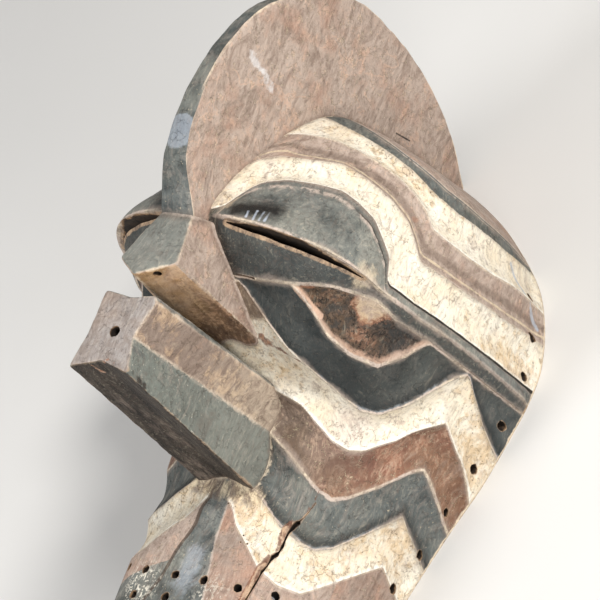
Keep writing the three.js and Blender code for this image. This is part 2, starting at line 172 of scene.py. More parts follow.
def sample(table, place, share):
    a = np.clip(place / LAST, 0, 1) * (FINE_STATIONS - 1)
    b = np.clip(share, 0, 1) * (FINE_SHARES - 1)
    i = np.minimum(a.astype(int), FINE_STATIONS - 2)
    j = np.minimum(b.astype(int), FINE_SHARES - 2)
    fa, fb = (a - i)[..., None], (b - j)[..., None]
    top = table[i, j] * (1 - fb) + table[i, j + 1] * fb
    low = table[i + 1, j] * (1 - fb) + table[i + 1, j + 1] * fb
    return top * (1 - fa) + low * fa


print("half widths of the sections", np.round(ARC[::40]), "mm round to the rim")

# %% [markdown]
# ## The carved lines
# Every painted band is also a shallow trough, and the ridges between the troughs were drawn
# first. Each line gives stations at shares of the way out. The cheek lines dip under the eye,
# rise to a peak near the rim and fall again, which makes the zigzag. A zone lies between two
# lines that follow each other, so the zones are named from the crown down in the same order.

# %% Carved lines of the face
LINES = {
    "crown": [(0, 0), (1, 0)],
    "dark_brow": [
        (0, 2.7), (0.2, 3.1), (0.31, 3.3), (0.47, 3.45), (0.63, 3.17), (0.79, 2.6), (1, 2.3)],
    "white_brow": [
        (0, 3.3), (0.08, 3.36), (0.16, 3.48), (0.27, 3.62), (0.35, 3.72), (0.445, 3.96),
        (0.53, 3.94), (0.63, 3.69), (0.745, 3.41), (0.96, 2.62), (1, 2.55)],
    "mauve_brow": [
        (0, 4.3), (0.055, 4.12), (0.137, 4.02), (0.2, 4.06), (0.28, 4.14), (0.34, 4.22),
        (0.4, 4.37), (0.45, 4.56), (0.486, 4.85), (0.53, 4.86), (0.617, 4.78), (0.708, 4.58),
        (0.812, 4.17), (0.896, 3.91), (1, 3.65)],
    "eye_band": [
        (0, 5.6), (0.02, 5.5), (0.035, 5.1), (0.073, 4.85), (0.147, 4.74), (0.215, 4.58),
        (0.284, 4.68), (0.36, 4.83), (0.424, 5.09), (0.47, 5.53), (0.495, 5.86), (0.544, 5.81),
        (0.631, 5.72), (0.724, 5.55), (0.818, 5.33), (0.919, 4.95), (1, 4.7)],
    "lid": [
        (0, 6.84), (0.04, 6.8), (0.065, 6.55), (0.075, 6.0), (0.096, 5.66), (0.138, 5.43),
        (0.207, 5.29), (0.259, 5.22), (0.304, 5.33), (0.355, 5.53), (0.393, 5.88), (0.428, 6.22),
        (0.443, 6.6), (0.452, 6.84), (0.532, 6.89), (0.636, 6.83), (0.756, 6.74), (0.887, 6.6),
        (1, 6.48)],
    "slit": [
        (0, 6.93), (0.3, 6.93), (0.35, 6.96), (0.4, 7.02), (0.44, 7.09), (0.55, 7.18), (1, 6.9)],
    "lower_lid": [
        (0, 8.1), (0.11, 8.07), (0.155, 8.04), (0.241, 7.88), (0.333, 7.58), (0.443, 7.36),
        (0.507, 7.57), (0.607, 7.52), (0.7, 7.54), (0.759, 7.5), (0.842, 7.46), (1, 7.28)],
    "crescent": [
        (0, 8.1), (0.11, 8.07), (0.155, 8.04), (0.235, 7.89), (0.251, 7.95), (0.291, 8.21),
        (0.334, 8.51), (0.398, 8.67), (0.479, 8.64), (0.552, 8.19), (0.609, 7.56), (0.7, 7.54),
        (0.759, 7.5), (0.842, 7.46), (1, 7.28)],
    "dark_cheek": [
        (0, 8.15), (0.115, 8.16), (0.165, 8.54), (0.233, 9.0), (0.337, 9.51), (0.387, 9.73),
        (0.441, 9.86), (0.504, 9.74), (0.599, 9.02), (0.684, 8.3), (0.758, 7.62), (0.807, 8.06),
        (0.876, 8.53), (0.942, 8.82), (1, 9.05)],
    "white_cheek": [
        (0, 10.0), (0.156, 10.05), (0.242, 10.17), (0.303, 10.4), (0.37, 10.6), (0.432, 10.65),
        (0.486, 10.55), (0.58, 10.12), (0.674, 9.4), (0.736, 8.98), (0.807, 9.52), (0.913, 10.04),
        (1, 10.4)],
    "mauve_cheek": [
        (0, 10.7), (0.143, 10.79), (0.286, 11.21), (0.37, 11.44), (0.441, 11.51), (0.494, 11.39),
        (0.591, 11.0), (0.683, 10.51), (0.722, 10.35), (0.825, 10.65), (0.93, 10.93), (1, 11.07)],
    "dark_jaw": [
        (0, 11.4), (0.164, 11.77), (0.292, 12.15), (0.393, 12.31), (0.452, 12.35), (0.518, 12.22),
        (0.616, 11.81), (0.716, 11.37), (0.732, 11.26), (0.796, 11.43), (0.887, 11.61),
        (1, 11.83)],
    "white_jaw": [
        (0, 11.95), (0.063, 11.99), (0.119, 12.29), (0.205, 12.56), (0.285, 12.85), (0.38, 13.02),
        (0.474, 13.04), (0.609, 12.62), (0.769, 12.11), (0.845, 12.28), (0.934, 12.46), (1, 12.6)],
    "chin_edge": [(0, LAST), (1, LAST)],
}
ZONES = [
    ("crown", "plain", 20), ("slate_brow", "trough", 10), ("cream_brow", "trough", 12),
    ("mauve_brow", "trough", 14), ("cream_eye", "trough", 14), ("upper_lid", "upper_lid", 20),
    ("lower_lid", "lower_lid", 14), ("crescent", "trough", 12), ("dark_cheek", "trough", 16),
    ("cream_cheek", "trough", 14), ("red_cheek", "trough", 14), ("slate_jaw", "trough", 14),
    ("cream_jaw", "trough", 14), ("chin", "plain", 20),
]
ZONE_NAMES = [name for name, form, rows in ZONES]
HALF_COLUMNS = 98


def line_place(number, share):
    knots = np.array(list(LINES.values())[number], float)
    spread = np.linspace(-0.0035, 0.0035, 5)
    return np.mean([np.interp(share + d, knots[:, 0], knots[:, 1]) for d in spread], axis=0)


def crowd_ends(part):
    return 0.5 * part + 0.25 * (1 - math.cos(math.pi * part))


ROWS = [(0, 0.0)] + [
    (z, crowd_ends(i / rows)) for z, (_, _, rows) in enumerate(ZONES) for i in range(1, rows + 1)]
print(len(LINES), "lines,", len(ROWS), "rows of the face mesh")

# %% [markdown]
# ## The relief
# The troughs are up to five millimetres deep and run out before the nose and the rim. The upper
# lid swells most along its lower edge and hangs over the slit, the lower lid slopes back under
# it, and the temple bar is a low ridge with two facets.

# %% Relief of bands, lids and temple bar
TROUGH = 4.8
LID_SWELL, LOWER_LID_SWELL, BAR_HEIGHT = 15.0, 9.0, 5.0
LID_START, LID_END, BAR_START = 0.055, 0.455, 0.43


def relief(zone, part, share, width):
    form = ZONES[zone][1]
    ends = ease(0.05, 0.11, share) * ease(1.0, 0.94, share)
    if form == "plain":
        return np.zeros_like(share)
    if form == "trough":
        depth = TROUGH * ease(0, 22, width)
        return -depth * (1 - abs(2 * part - 1) ** 1.7) * ends
    along = np.clip((share - LID_START) / (LID_END - LID_START), 0, 1)
    lid = np.sin(math.pi * along) ** 0.6
    bar = BAR_HEIGHT * ease(BAR_START, BAR_START + 0.05, share) * ease(1.0, 0.95, share)
    if form == "upper_lid":
        return LID_SWELL * lid * part**1.4 + bar * part**0.6
    return LOWER_LID_SWELL * lid * (1 - part) + bar * (1 - part) ** 0.6


def face_row(row):
    zone, part = ROWS[row]
    share = np.abs(np.arange(-HALF_COLUMNS, HALF_COLUMNS + 1)) / HALF_COLUMNS
    start, end = line_place(zone, share), line_place(zone + 1, share)
    place = start + (end - start) * part
    width = np.linalg.norm(sample(OUTSIDE, end, share) - sample(OUTSIDE, start, share), axis=1)
    normal = sample(OUTWARD, place, share)
    normal[share == 1] = 0
    point = sample(OUTSIDE, place, share) + normal * relief(zone, part, share, width)[:, None]
    point[:, 0] *= np.sign(np.arange(-HALF_COLUMNS, HALF_COLUMNS + 1))
    arc = np.interp(place, np.linspace(0, LAST, FINE_STATIONS), ARC)
    return point, width, arc * (1 - share)


face_rows = [face_row(r) for r in range(len(ROWS))]
print("widest band", round(max(width.max() for _, width, _ in face_rows)), "mm")

# %% [markdown]
# ## From grid to block
# A flat grid is bent onto the face, and two flat faces close it: the back rim's plane, and the
# slanting plane of the open chin. Each vertex remembers which band it lies in and how wide the
# band is there, because the paint follows the carving.

# %% Mesh helpers
WELD = 0.01


def bend_grid(bm, rows, columns, place):
    made = bmesh.ops.create_grid(bm, x_segments=columns, y_segments=rows, size=0.5)
    ordered = sorted(made["verts"], key=lambda v: (round(-v.co.y * rows), round(v.co.x * columns)))
    points = place(rows, columns).reshape(-1, 3)
    for vert, point in zip(ordered, points):
        vert.co = point
    return ordered


def close_flat(bm, corners=None):
    if corners:
        ends = [min(bm.verts, key=lambda v: (v.co - spot).length) for spot in corners]
        bmesh.ops.contextual_create(bm, geom=ends)
    edges = [e for e in bm.edges if e.is_boundary or e.is_wire]
    return bmesh.ops.holes_fill(bm, edges=edges, sides=0)["faces"]


def finish_mesh(name, bm, materials):
    bmesh.ops.recalc_face_normals(bm, faces=bm.faces)
    mesh = bpy.data.meshes.new(name)
    bm.to_mesh(mesh)
    bm.free()
    for material in materials:
        mesh.materials.append(material)
    piece = bpy.data.objects.new(name, mesh)
    bpy.context.scene.collection.objects.link(piece)
    return piece


PAINTS = {name: bpy.data.materials.new(name) for name in (
    "face_paint", "bare_wood", "crest_paint", "nose_paint", "mouth_paint")}
print("five finishes to come:", ", ".join(PAINTS))

# %% [markdown]
# The carver's block was sawn flat at the back, and that plane is still the rim. Its face is
# painted and its two flat sides stay bare.

# %% The block of the head
def face_points(rows, columns):
    return np.array([face_rows[r][0] for r in range(len(ROWS))])


def make_block():
    bm = bmesh.new()
    values = {name: bm.verts.layers.float.new(name) for name in (
        "band", "width", "rimward", "share", "known")}
    ordered = bend_grid(bm, len(ROWS) - 1, 2 * HALF_COLUMNS, face_points)
    columns = 2 * HALF_COLUMNS + 1
    for i, vert in enumerate(ordered):
        r, c = divmod(i, columns)
        zone, part = ROWS[r]
        vert[values["band"]] = zone + part
        vert[values["width"]] = face_rows[r][1][c]
        vert[values["rimward"]] = face_rows[r][2][c]
        vert[values["share"]] = abs(c - HALF_COLUMNS) / HALF_COLUMNS
        vert[values["known"]] = 1
    corners = [ordered[-columns].co.copy(), ordered[-1].co.copy()]
    bmesh.ops.remove_doubles(bm, verts=ordered[:columns], dist=WELD)
    for face in close_flat(bm, corners):
        face.material_index = 1
    return finish_mesh("mask", bm, [PAINTS["face_paint"], PAINTS["bare_wood"]])


block = make_block()
print("block:", len(block.data.vertices), "vertices")

# %% [markdown]
# ## The crest
# The crest is a thin upright plate, left standing when the sides of the block were cut down. It
# thickens where it runs down onto the bridge of the nose, and its edge is a little rounded and
# uneven from handling.

# %% Crest
CREST_EDGE = np.array([
    (-6, -8), (13, 13), (25, 27), (33, 43), (38.5, 78), (35.5, 118), (15.5, 172), (-28, 220),
    (-88, 252), (-140, 258), (-185, 256.5), (-232, 247), (-272, 231), (-309, 207),
], float)
CREST_FOOT = np.array([
    (-40, -14), (-70, 40), (-110, 78), (-160, 128), (-230, 165), (-309, 180)], float)
CREST_HALF = [(-14, 15.6), (2, 15.6), (28, 11.5), (50, 9.5), (120, 7.5), (225, 6.6), (270, 6)]
CREST_ROWS, CREST_COLUMNS = 150, 34
EDGE_THICK, EDGE_SHARE = 0.82, 0.012
WAVE_LONG, WAVE_HIGH = 14, 1.1


def even_line(knots, count):
    return spread_evenly(smooth(knots, np.linspace(0, 1, 1200) * (len(knots) - 1)), count)


def crest_points(rows, columns):
    edge = even_line(CREST_EDGE, rows + 1)
    foot = even_line(CREST_FOOT, rows + 1)
    inward = foot - edge
    inward /= np.linalg.norm(inward, axis=1, keepdims=True)
    wobble = [noise.noise(Vector((*spot, 0)) / WAVE_LONG + Vector((3, 0, 0))) for spot in edge]
    edge = edge - inward * (np.array(wobble) * WAVE_HIGH)[:, None]
    half = columns // 2
    flank = np.linspace(0, 1, half - 1) ** 1.3
    grid = np.zeros((rows + 1, columns + 1, 3))
    for c in range(columns + 1):
        from_edge = abs(c - half)
        side = np.sign(c - half)
        if from_edge <= 1:
            ring, thick = edge, EDGE_THICK * from_edge
        else:
            inner = EDGE_SHARE + (1 - EDGE_SHARE) * flank[from_edge - 2]
            ring, thick = edge + (foot - edge) * inner, 1
        depth = np.interp(ring[:, 1], *np.array(CREST_HALF).T) * thick
        grid[:, c] = np.stack([side * depth, ring[:, 1], ring[:, 0]], 1)
    return grid


def make_crest():
    bm = bmesh.new()
    bend_grid(bm, CREST_ROWS, CREST_COLUMNS, crest_points)
    close_flat(bm)
    return finish_mesh("crest", bm, [PAINTS["crest_paint"]])


crest = make_crest()
print("crest:", len(crest.data.vertices), "vertices")

# %% [markdown]
# ## Nose and mouth
# Both are prisms that stand on the face. The nose has a dark front facet between two ridges,
# flanks that spread back to the cheeks and a flat underside. The mouth is a square box with a
# groove along each side. Their edges are softened by wear, so each ring is rounded a little.

# %% Nose and mouth
NOSE_FRONT = [(15.6, 2, 0), (-15.6, 2, 0), (-29, -47, 10), (0, -65, 20), (29, -47, 10)]
NOSE_BACK = [(36, 16, -66), (-36, 16, -66), (-42, -53.5, -122), (0, -61, -122), (42, -53.5, -122)]
MOUTH_FRONT = [(x, y, 12) for x, y in (
    (27.6, -81), (24, -75.5), (0, -79), (-26, -75.5), (-25, -112), (-29.8, -142.7), (0, -135),
    (29.8, -142.7), (20, -112))]
MOUTH_BACK = [(x, y, -185) for x, y in (
    (41.5, -69), (36, -65), (0, -72), (-40, -65), (-34, -99), (-29, -145.7), (0, -140),
    (29, -145.7), (32, -98.6))]
ROUNDED_EDGE, EDGE_SINK = [(0.93, 0.1), (0.958, 0.5), (0.98, 1.3), (0.995, 2.6)], 4.4
CAP_RINGS = 12


def side_ring(corners, around):
    corners = np.array(corners, float)
    run = np.linalg.norm(np.roll(corners, -1, axis=0) - corners, axis=1)
    count = np.maximum(2, np.round(run / run.sum() * around).astype(int))
    count[np.argmax(count)] += around - count.sum()
    starts = np.repeat(np.arange(len(corners)), count)
    return starts, np.concatenate([np.arange(n) / n for n in count])[:, None]


def soft_ring(corners, starts, shares):
    corners = np.array(corners, float)
    ring = corners[starts] * (1 - shares) + np.roll(corners, -1, axis=0)[starts] * shares
    for weight in (0.25, 0.18):
        beside = np.roll(ring, 1, axis=0) + np.roll(ring, -1, axis=0)
        ring = ring * (1 - 2 * weight) + beside * weight
    return ring


def make_prism(name, front, back, around, rows):
    where = side_ring(front, around)
    first, last = soft_ring(front, *where), soft_ring(back, *where)
    sides_start = CAP_RINGS + len(ROUNDED_EDGE)
    middle = first.mean(0)
    away = (last.mean(0) - middle) / np.linalg.norm(last.mean(0) - middle)

    def place(count, columns):
        grid = np.zeros((count + 1, columns + 1, 3))
        for r in range(count + 1):
            if r < CAP_RINGS:
                inset, sink = 0.9 * (r / CAP_RINGS) ** 0.8, 0
            elif r < sides_start:
                inset, sink = ROUNDED_EDGE[r - CAP_RINGS]
            else:
                inset, sink = 1, EDGE_SINK
            share = max(0, r - sides_start) / (count - sides_start)
            ring = middle + (first - middle) * inset + away * sink
            ring = ring * (1 - share) + last * share
            grid[r, :-1] = ring
            grid[r, -1] = ring[0]
        return grid

    bm = bmesh.new()
    bend_grid(bm, rows, around, place)
    bmesh.ops.remove_doubles(bm, verts=bm.verts, dist=WELD)
    close_flat(bm)
    for vert in bm.verts:
        here = vert.co.copy()
        for size, amount, seed in ((13, 0.55, 0), (5, 0.3, 9)):
            for axis in range(3):
                shift = Vector((0, 0, 0))
                shift[axis] = seed + 4 * axis
                vert.co[axis] += noise.noise(here / size + shift) * amount
    return finish_mesh(name, bm, [PAINTS[name + "_paint"]])


nose = make_prism("nose", NOSE_FRONT, NOSE_BACK, around=84, rows=74)
mouth = make_prism("mouth", MOUTH_FRONT, MOUTH_BACK, around=120, rows=96)
print("nose:", len(nose.data.vertices), "mouth:", len(mouth.data.vertices), "vertices")

# %% [markdown]
# ## What is cut away
# The hollow follows the face a finger's width in, and runs on past the rim and past the chin, so
# that both edges come out flat. The eye slits go through just under the lids. The mouth is
# bored through into its own small cavity.

# %% Hollow
HOLLOW_ROWS, HOLLOW_COLUMNS = 90, 92
PAST_RIM, PAST_CHIN = 20, (0, -19.4, -4.9)


def hollow_points(rows, columns):
    half = columns // 2 - 1
    share = np.minimum(np.abs(np.arange(-half - 1, half + 2)) / half, 1)
    side = np.sign(np.arange(-half - 1, half + 2))
    place = np.minimum(np.arange(rows + 1) / (rows - 1), 1) * LAST
    grid = sample(HOLLOW, *np.broadcast_arrays(place[:, None], share[None, :]))
    grid[..., 0] *= side
    grid[:, [0, -1], 2] -= PAST_RIM
    grid[-1] += PAST_CHIN
    return grid


def make_hollow():
    bm = bmesh.new()
    ordered = bend_grid(bm, HOLLOW_ROWS, HOLLOW_COLUMNS, hollow_points)
    corners = [ordered[-HOLLOW_COLUMNS - 1].co.copy(), ordered[-1].co.copy()]
    bmesh.ops.remove_doubles(bm, verts=bm.verts, dist=WELD)
    close_flat(bm, corners)
    return finish_mesh("hollow", bm, [PAINTS["bare_wood"]])


hollow = make_hollow()
print("hollow:", len(hollow.data.vertices), "vertices")

# %% [markdown]
# The lacing holes were burnt or drilled by hand, so none is quite round, and the cords have worn
# them wider. Each is a cone with ragged sides, set square to the face at its own place. The
# nostrils, the worm holes and the mouth's bore are made in the same way.

# %% Holes and bores
HOLES = [(3.66, 0.917), (4.86, 0.934), (6.27, 0.949), (8.15, 0.958), (9.66, 0.936), (10.76, 0.926),
         (11.61, 0.925), (12.33, 0.89), (12.95, 0.8), (13.15, 0.6)]
CHIN_HOLES = [(13.22, 0.087), (13.23, 0.24), (13.2, 0.389), (13.22, -0.055), (13.22, -0.215),
              (13.2, -0.36), (13.7, -0.222), (13.64, -0.058)]
WORM_HOLES = [(34.4, -183), (35.3, -189), (40.8, -189), (58.5, -184.5), (10.1, -160)]
NOSTRIL, MOUTH_BORE = Vector((13.5, -57, 9)), Vector((0.5, -109.5, -4))
BORE_LONG = 60


def at(place, share):
    spot = np.array([abs(share)])
    point = sample(OUTSIDE, np.array([place]), spot)[0]
    normal = sample(OUTWARD, np.array([place]), spot)[0]
    mirror = (-1 if share < 0 else 1, 1, 1)
    return Vector(point * mirror), Vector(normal * mirror)


def add_bore(bm, centre, direction, radius, length, sides=20, ragged=0.35, seed=0.0, oval=1.0):
    turn = direction.normalized().to_track_quat("Z", "Y").to_matrix().to_4x4()
    made = bmesh.ops.create_cone(
        bm, cap_ends=True, segments=sides, radius1=radius * 0.75, radius2=radius * 1.06,
        depth=length, matrix=Matrix.Translation(centre) @ turn @ Matrix.Diagonal((1, oval, 1, 1)))
    for vert in made["verts"]:
        away = vert.co - centre
        away -= away.project(direction)
        wobble = noise.noise(away / 2.3 + Vector((seed, 0, 0)))
        vert.co += away.normalized() * wobble * ragged * 2


def build_holes(bm):
    for side in (1, -1):
        for n, (place, share) in enumerate(HOLES):
            centre, direction = at(place, side * share)
            wide = 4.2 + 0.4 * math.sin(n * 2.1)
            add_bore(bm, centre, direction, wide, BORE_LONG, seed=n * 3.7 + side, oval=1.3,
                     ragged=0.6)
        nostril = NOSTRIL * Vector((side, 1, 1))
        add_bore(bm, nostril, Vector((0, 1, -0.5)), 3.0, 24, ragged=0.2)
    for n, (place, share) in enumerate(CHIN_HOLES):
        centre, direction = at(place, share)
        add_bore(bm, centre, direction, 4.0, BORE_LONG, seed=n * 2.3, ragged=0.5)


def build_worm_holes(bm):
    for n, (out, up) in enumerate(WORM_HOLES):
        add_bore(bm, Vector((out, up, -177)), Vector((0.2, 0, 1)), 0.75, 16, sides=10, seed=n)


def build_mouth_bore(bm):
    add_bore(bm, MOUTH_BORE, Vector((0, 0, 1)), 4.6, 48, sides=24)


def build_cavity(bm):
    turn = Matrix.Translation((0, -109, -129)) @ Matrix.Diagonal((26, 34, 222, 1))
    bmesh.ops.create_cube(bm, size=1, matrix=turn)


print(2 * len(HOLES) + len(CHIN_HOLES), "lacing holes,", len(WORM_HOLES), "worm holes")

# %% [markdown]
# The slits are long ovals under the lids. A knife opened them from both sides, so they bow a
# little, waver, and narrow towards the temple.

# %% Eye slits
SLIT_INNER, SLIT_OUTER, SLIT_HALF = Vector((31, 6.4, -19)), Vector((123, 6.0, -85)), 2.7


def add_slit(bm, side):
    along = (SLIT_OUTER - SLIT_INNER).normalized()
    through = along.cross(Vector((0, 1, 0))).normalized()
    across = through.cross(along)
    turn = Matrix((along, across, through)).transposed().to_4x4()
    half = (SLIT_OUTER - SLIT_INNER).length / 2
    middle = (SLIT_INNER + SLIT_OUTER) / 2
    made = bmesh.ops.create_cone(
        bm, cap_ends=True, segments=96, radius1=1, radius2=1, depth=90,
        matrix=Matrix.Translation(middle) @ turn @ Matrix.Diagonal((half, SLIT_HALF, 1, 1)))
    for vert in made["verts"]:
        away = (vert.co - middle).dot(along) / half
        vert.co -= across * (vert.co - middle).dot(across) * 0.5 * max(0.0, away)
        vert.co.y += 0.6 * (away**2 - 0.5) + noise.noise(vert.co / 12) * 0.9
        vert.co.x *= side


def build_slits(bm):
    add_slit(bm, 1)
    add_slit(bm, -1)


print("each slit is", round((SLIT_OUTER - SLIT_INNER).length), "mm long")

# %% [markdown]
# The jaw's drying crack wanders down the grain. It is a chain of spots on the face with a width
# at each, pushed fifteen millimetres into the wood, and open at its lower end.

# %% Crack
CRACK = [(11.62, 0.372, 0.25), (11.75, 0.362, 0.5), (11.9, 0.351, 0.6), (11.97, 0.344, 1.1),
         (12.0, 0.341, 4.4), (12.08, 0.336, 3.8), (12.2, 0.331, 2.2), (12.33, 0.325, 1.6),
         (12.42, 0.324, 2.4), (12.5, 0.319, 1.4), (12.55, 0.315, 3.6), (12.6, 0.306, 3.4),
         (12.67, 0.303, 1.6), (12.76, 0.303, 1.0), (12.87, 0.298, 2.4), (12.95, 0.298, 1.0),
         (13.1, 0.294, 1.8), (13.3, 0.289, 1.2), (13.6, 0.28, 2.2), (14.0, 0.268, 2.6)]
CRACK_DEEP = 15


def add_crack(bm):
    spots = [(*at(place, share), wide) for place, share, wide in CRACK]
    end = spots[-1][0] + (spots[-1][0] - spots[-3][0]).normalized() * 14
    spots.append((end, spots[-1][1], 2.8))
    count = len(spots)
    made = bmesh.ops.create_grid(bm, x_segments=1, y_segments=count - 1, size=0.5)
    for vert in made["verts"]:
        k = round((0.5 - vert.co.y) * (count - 1))
        side = 0.5 if vert.co.x > 0 else -0.5
        point, normal, wide = spots[k]
        ahead = (spots[min(k + 1, count - 1)][0] - spots[max(k - 1, 0)][0]).normalized()
        sideways = ahead.cross(normal).normalized()
        ragged = noise.noise(Vector((k * 1.7, side * 9, 0))) * 0.7
        vert.co = point + normal * 5 + sideways * side * (wide + ragged)
    deep = bmesh.ops.extrude_face_region(bm, geom=bm.faces[:])["geom"]
    for vert in [g for g in deep if isinstance(g, bmesh.types.BMVert)]:
        vert.co -= Vector((0.25, 0, 0.95)) * CRACK_DEEP


print("the crack has", len(CRACK), "spots, the widest", max(wide for _, _, wide in CRACK), "mm")

# %% [markdown]
# Every cut is a closed body of bare wood, so the walls it leaves are bare as well.

# %% Cutters
def make_cutter(name, build):
    bm = bmesh.new()
    build(bm)
    bmesh.ops.triangulate(bm, faces=bm.faces)
    return finish_mesh(name, bm, [PAINTS["bare_wood"]])


cutters = [make_cutter(name, build) for name, build in (
    ("holes", build_holes), ("worm_holes", build_worm_holes), ("bore", build_mouth_bore),
    ("cavity", build_cavity), ("slits", build_slits), ("crack", add_crack))]
print(sum(len(c.data.vertices) for c in cutters), "vertices in", len(cutters), "cutters")

# %% [markdown]
# ## One piece of wood
# The parts are joined and the cuts made in one go, which leaves a single closed body, as the
# carver's block was. New vertices along the seams borrow their paint values from the nearest
# vertex of the face.

# %% Join and cut
def join_and_cut():
    for operation, others in (("UNION", [crest, nose, mouth]), ("DIFFERENCE", [hollow, *cutters])):
        for other in others:
            step = block.modifiers.new(other.name, "BOOLEAN")
            step.operation = operation
            step.solver = "MANIFOLD"
            step.object = other
            step.material_mode = "TRANSFER"
    made = bpy.data.meshes.new_from_object(
        block.evaluated_get(bpy.context.evaluated_depsgraph_get()))
    made.name = "mask"
    block.modifiers.clear()
    block.data = made
    for other in [crest, nose, mouth, hollow, *cutters]:
        bpy.data.objects.remove(other)
    return block


def read(mesh, name):
    value = np.zeros(len(mesh.vertices))
    mesh.attributes[name].data.foreach_get("value", value)
    return value


def places(mesh):
    flat = np.zeros(len(mesh.vertices) * 3)
    mesh.vertices.foreach_get("co", flat)
    return flat.reshape(-1, 3)


def nearest(points, targets):
    tree = KDTree(len(targets))
    for i, target in enumerate(targets):
        tree.insert(target, i)
    tree.balance()
    found = [tree.find(point) for point in points]
    return np.array([f[1] for f in found]), np.array([f[2] for f in found])


def fill_values(mesh):
    known = read(mesh, "known") > 0
    points = places(mesh)
    index, _ = nearest(points[~known], points[known])
    for name in ("band", "width", "rimward", "share"):
        value = read(mesh, name)
        value[~known] = value[known][index]
        mesh.attributes[name].data.foreach_set("value", value)


mask = join_and_cut()
fill_values(mask.data)
print("mask:", len(mask.data.vertices), "vertices,", [m.name for m in mask.data.materials])

# %% [markdown]
# ## Where the paint wears
# Hands, storage and rubbing take the paint off the edges first. Each vertex gets its distance to
# the nearest carved edge of the nose, mouth and crest, and its place for the painted shapes
# that don't follow a band.

# %% Distances to edges
MOUTH_VALLEYS = (2, 4, 6)
FAR_OFF = 1e3


def nearest_on(points, a, b):
    a, b = np.array(a, float), np.array(b, float)
    share = np.clip(((points - a) @ (b - a)) / ((b - a) @ (b - a)), 0, 1)
    return np.linalg.norm(points - (a + share[:, None] * (b - a)), axis=1)


def edge_distance(points, front, back, valleys=()):
    found = np.full(len(points), FAR_OFF)
    for i in range(len(front)):
        found = np.minimum(found, nearest_on(points, front[i], front[(i + 1) % len(front)]))
        if i not in valleys:
            found = np.minimum(found, nearest_on(points, front[i], back[i]))
    return found


def crest_distance(points):
    edge = even_line(CREST_EDGE, 400)
    found = np.full(len(points), FAR_OFF)
    near = points[:, 1] > -20
    gap = points[near][:, None, [2, 1]] - edge[None]
    found[near] = np.sqrt((gap**2).sum(2)).min(1)
    return found


def seam_distance(mesh, points):
    materials = np.array([m.name for m in mesh.materials])
    kinds = [set() for _ in points]
    for face in mesh.polygons:
        for v in face.vertices:
            kinds[v].add(materials[face.material_index])
    joins = np.array([len(k - {"bare_wood"}) > 1 for k in kinds])
    cuts = np.array([len(k) > 1 and "bare_wood" in k for k in kinds])
    return [nearest(points, points[chosen])[1] for chosen in (joins, cuts)]


def crack_distance(points):
    path = [np.array(at(min(place, LAST), share)[0]) for place, share, _ in CRACK]
    found = np.full(len(points), FAR_OFF)
    near = (points[:, 0] > 30) & (points[:, 1] < -120) & (points[:, 2] > -230)
    for a, b in zip(path, path[1:]):
        gap = nearest_on(points[near], a, b)
        left = np.cross(b - a, points[near] - a)[:, 2] < 0
        gap = np.where(left, gap, -gap)
        found[near] = np.where(np.abs(gap) < np.abs(found[near]), gap, found[near])
    return found


print("edges:", len(NOSE_FRONT), "on the nose's front,", len(MOUTH_FRONT), "on the mouth's")

# %% [markdown]
# The chin's painted strip and wedge, the border along the mouth's side, the crack and the fold
# of the cheeks get values of their own, as signed distances in millimetres. The facets of nose
# and mouth are told apart by the way they face. Then the mesh moves to the part's own frame.

# %% Paint values
CHIN_NEAR = [(150, 9), (172, 10.3), (192.6, 12.2), (212.7, 17.2), (230, 20.8), (240, 23.6),
             (262, 32)]
CHIN_FAR = [(150, -9), (158.7, -9.7), (167.8, -13.9), (180.8, -12.9), (191.8, -15.6),
            (202, -19.6), (217.5, -22.1), (231.8, -24.1), (244, -29.3), (251.4, -31.7),
            (262, -36)]
FOLD = [(7.62, 0.758), (8.98, 0.736), (10.35, 0.722), (11.26, 0.732), (12.11, 0.769), (13.0, 0.79)]
OUTSIDE_CHIN, CHIN_TOP = -60, 140
WEDGE_UP, WEDGE_OUT, WEDGE_SLOPE = -216, -25.9, 0.456
SIDE_UP, SIDE_AHEAD, SIDE_SLOPE = -112, 12, 0.068


def store(mesh, name, value):
    data = mesh.attributes.new(name, "FLOAT", "POINT")
    data.data.foreach_set("value", np.asarray(value, np.float32))


def store_facets(mesh):
    normals = np.zeros(len(mesh.polygons) * 3)
    mesh.polygons.foreach_get("normal", normals)
    counts = np.zeros(len(mesh.polygons), int)
    mesh.polygons.foreach_get("loop_total", counts)
    normals = np.repeat(normals.reshape(-1, 3), counts, axis=0)
    for axis, name in enumerate(("facing_out", "facing_up", "facing_ahead")):
        data = mesh.attributes.new(name, "FLOAT", "CORNER")
        data.data.foreach_set("value", normals[:, axis].astype(np.float32))


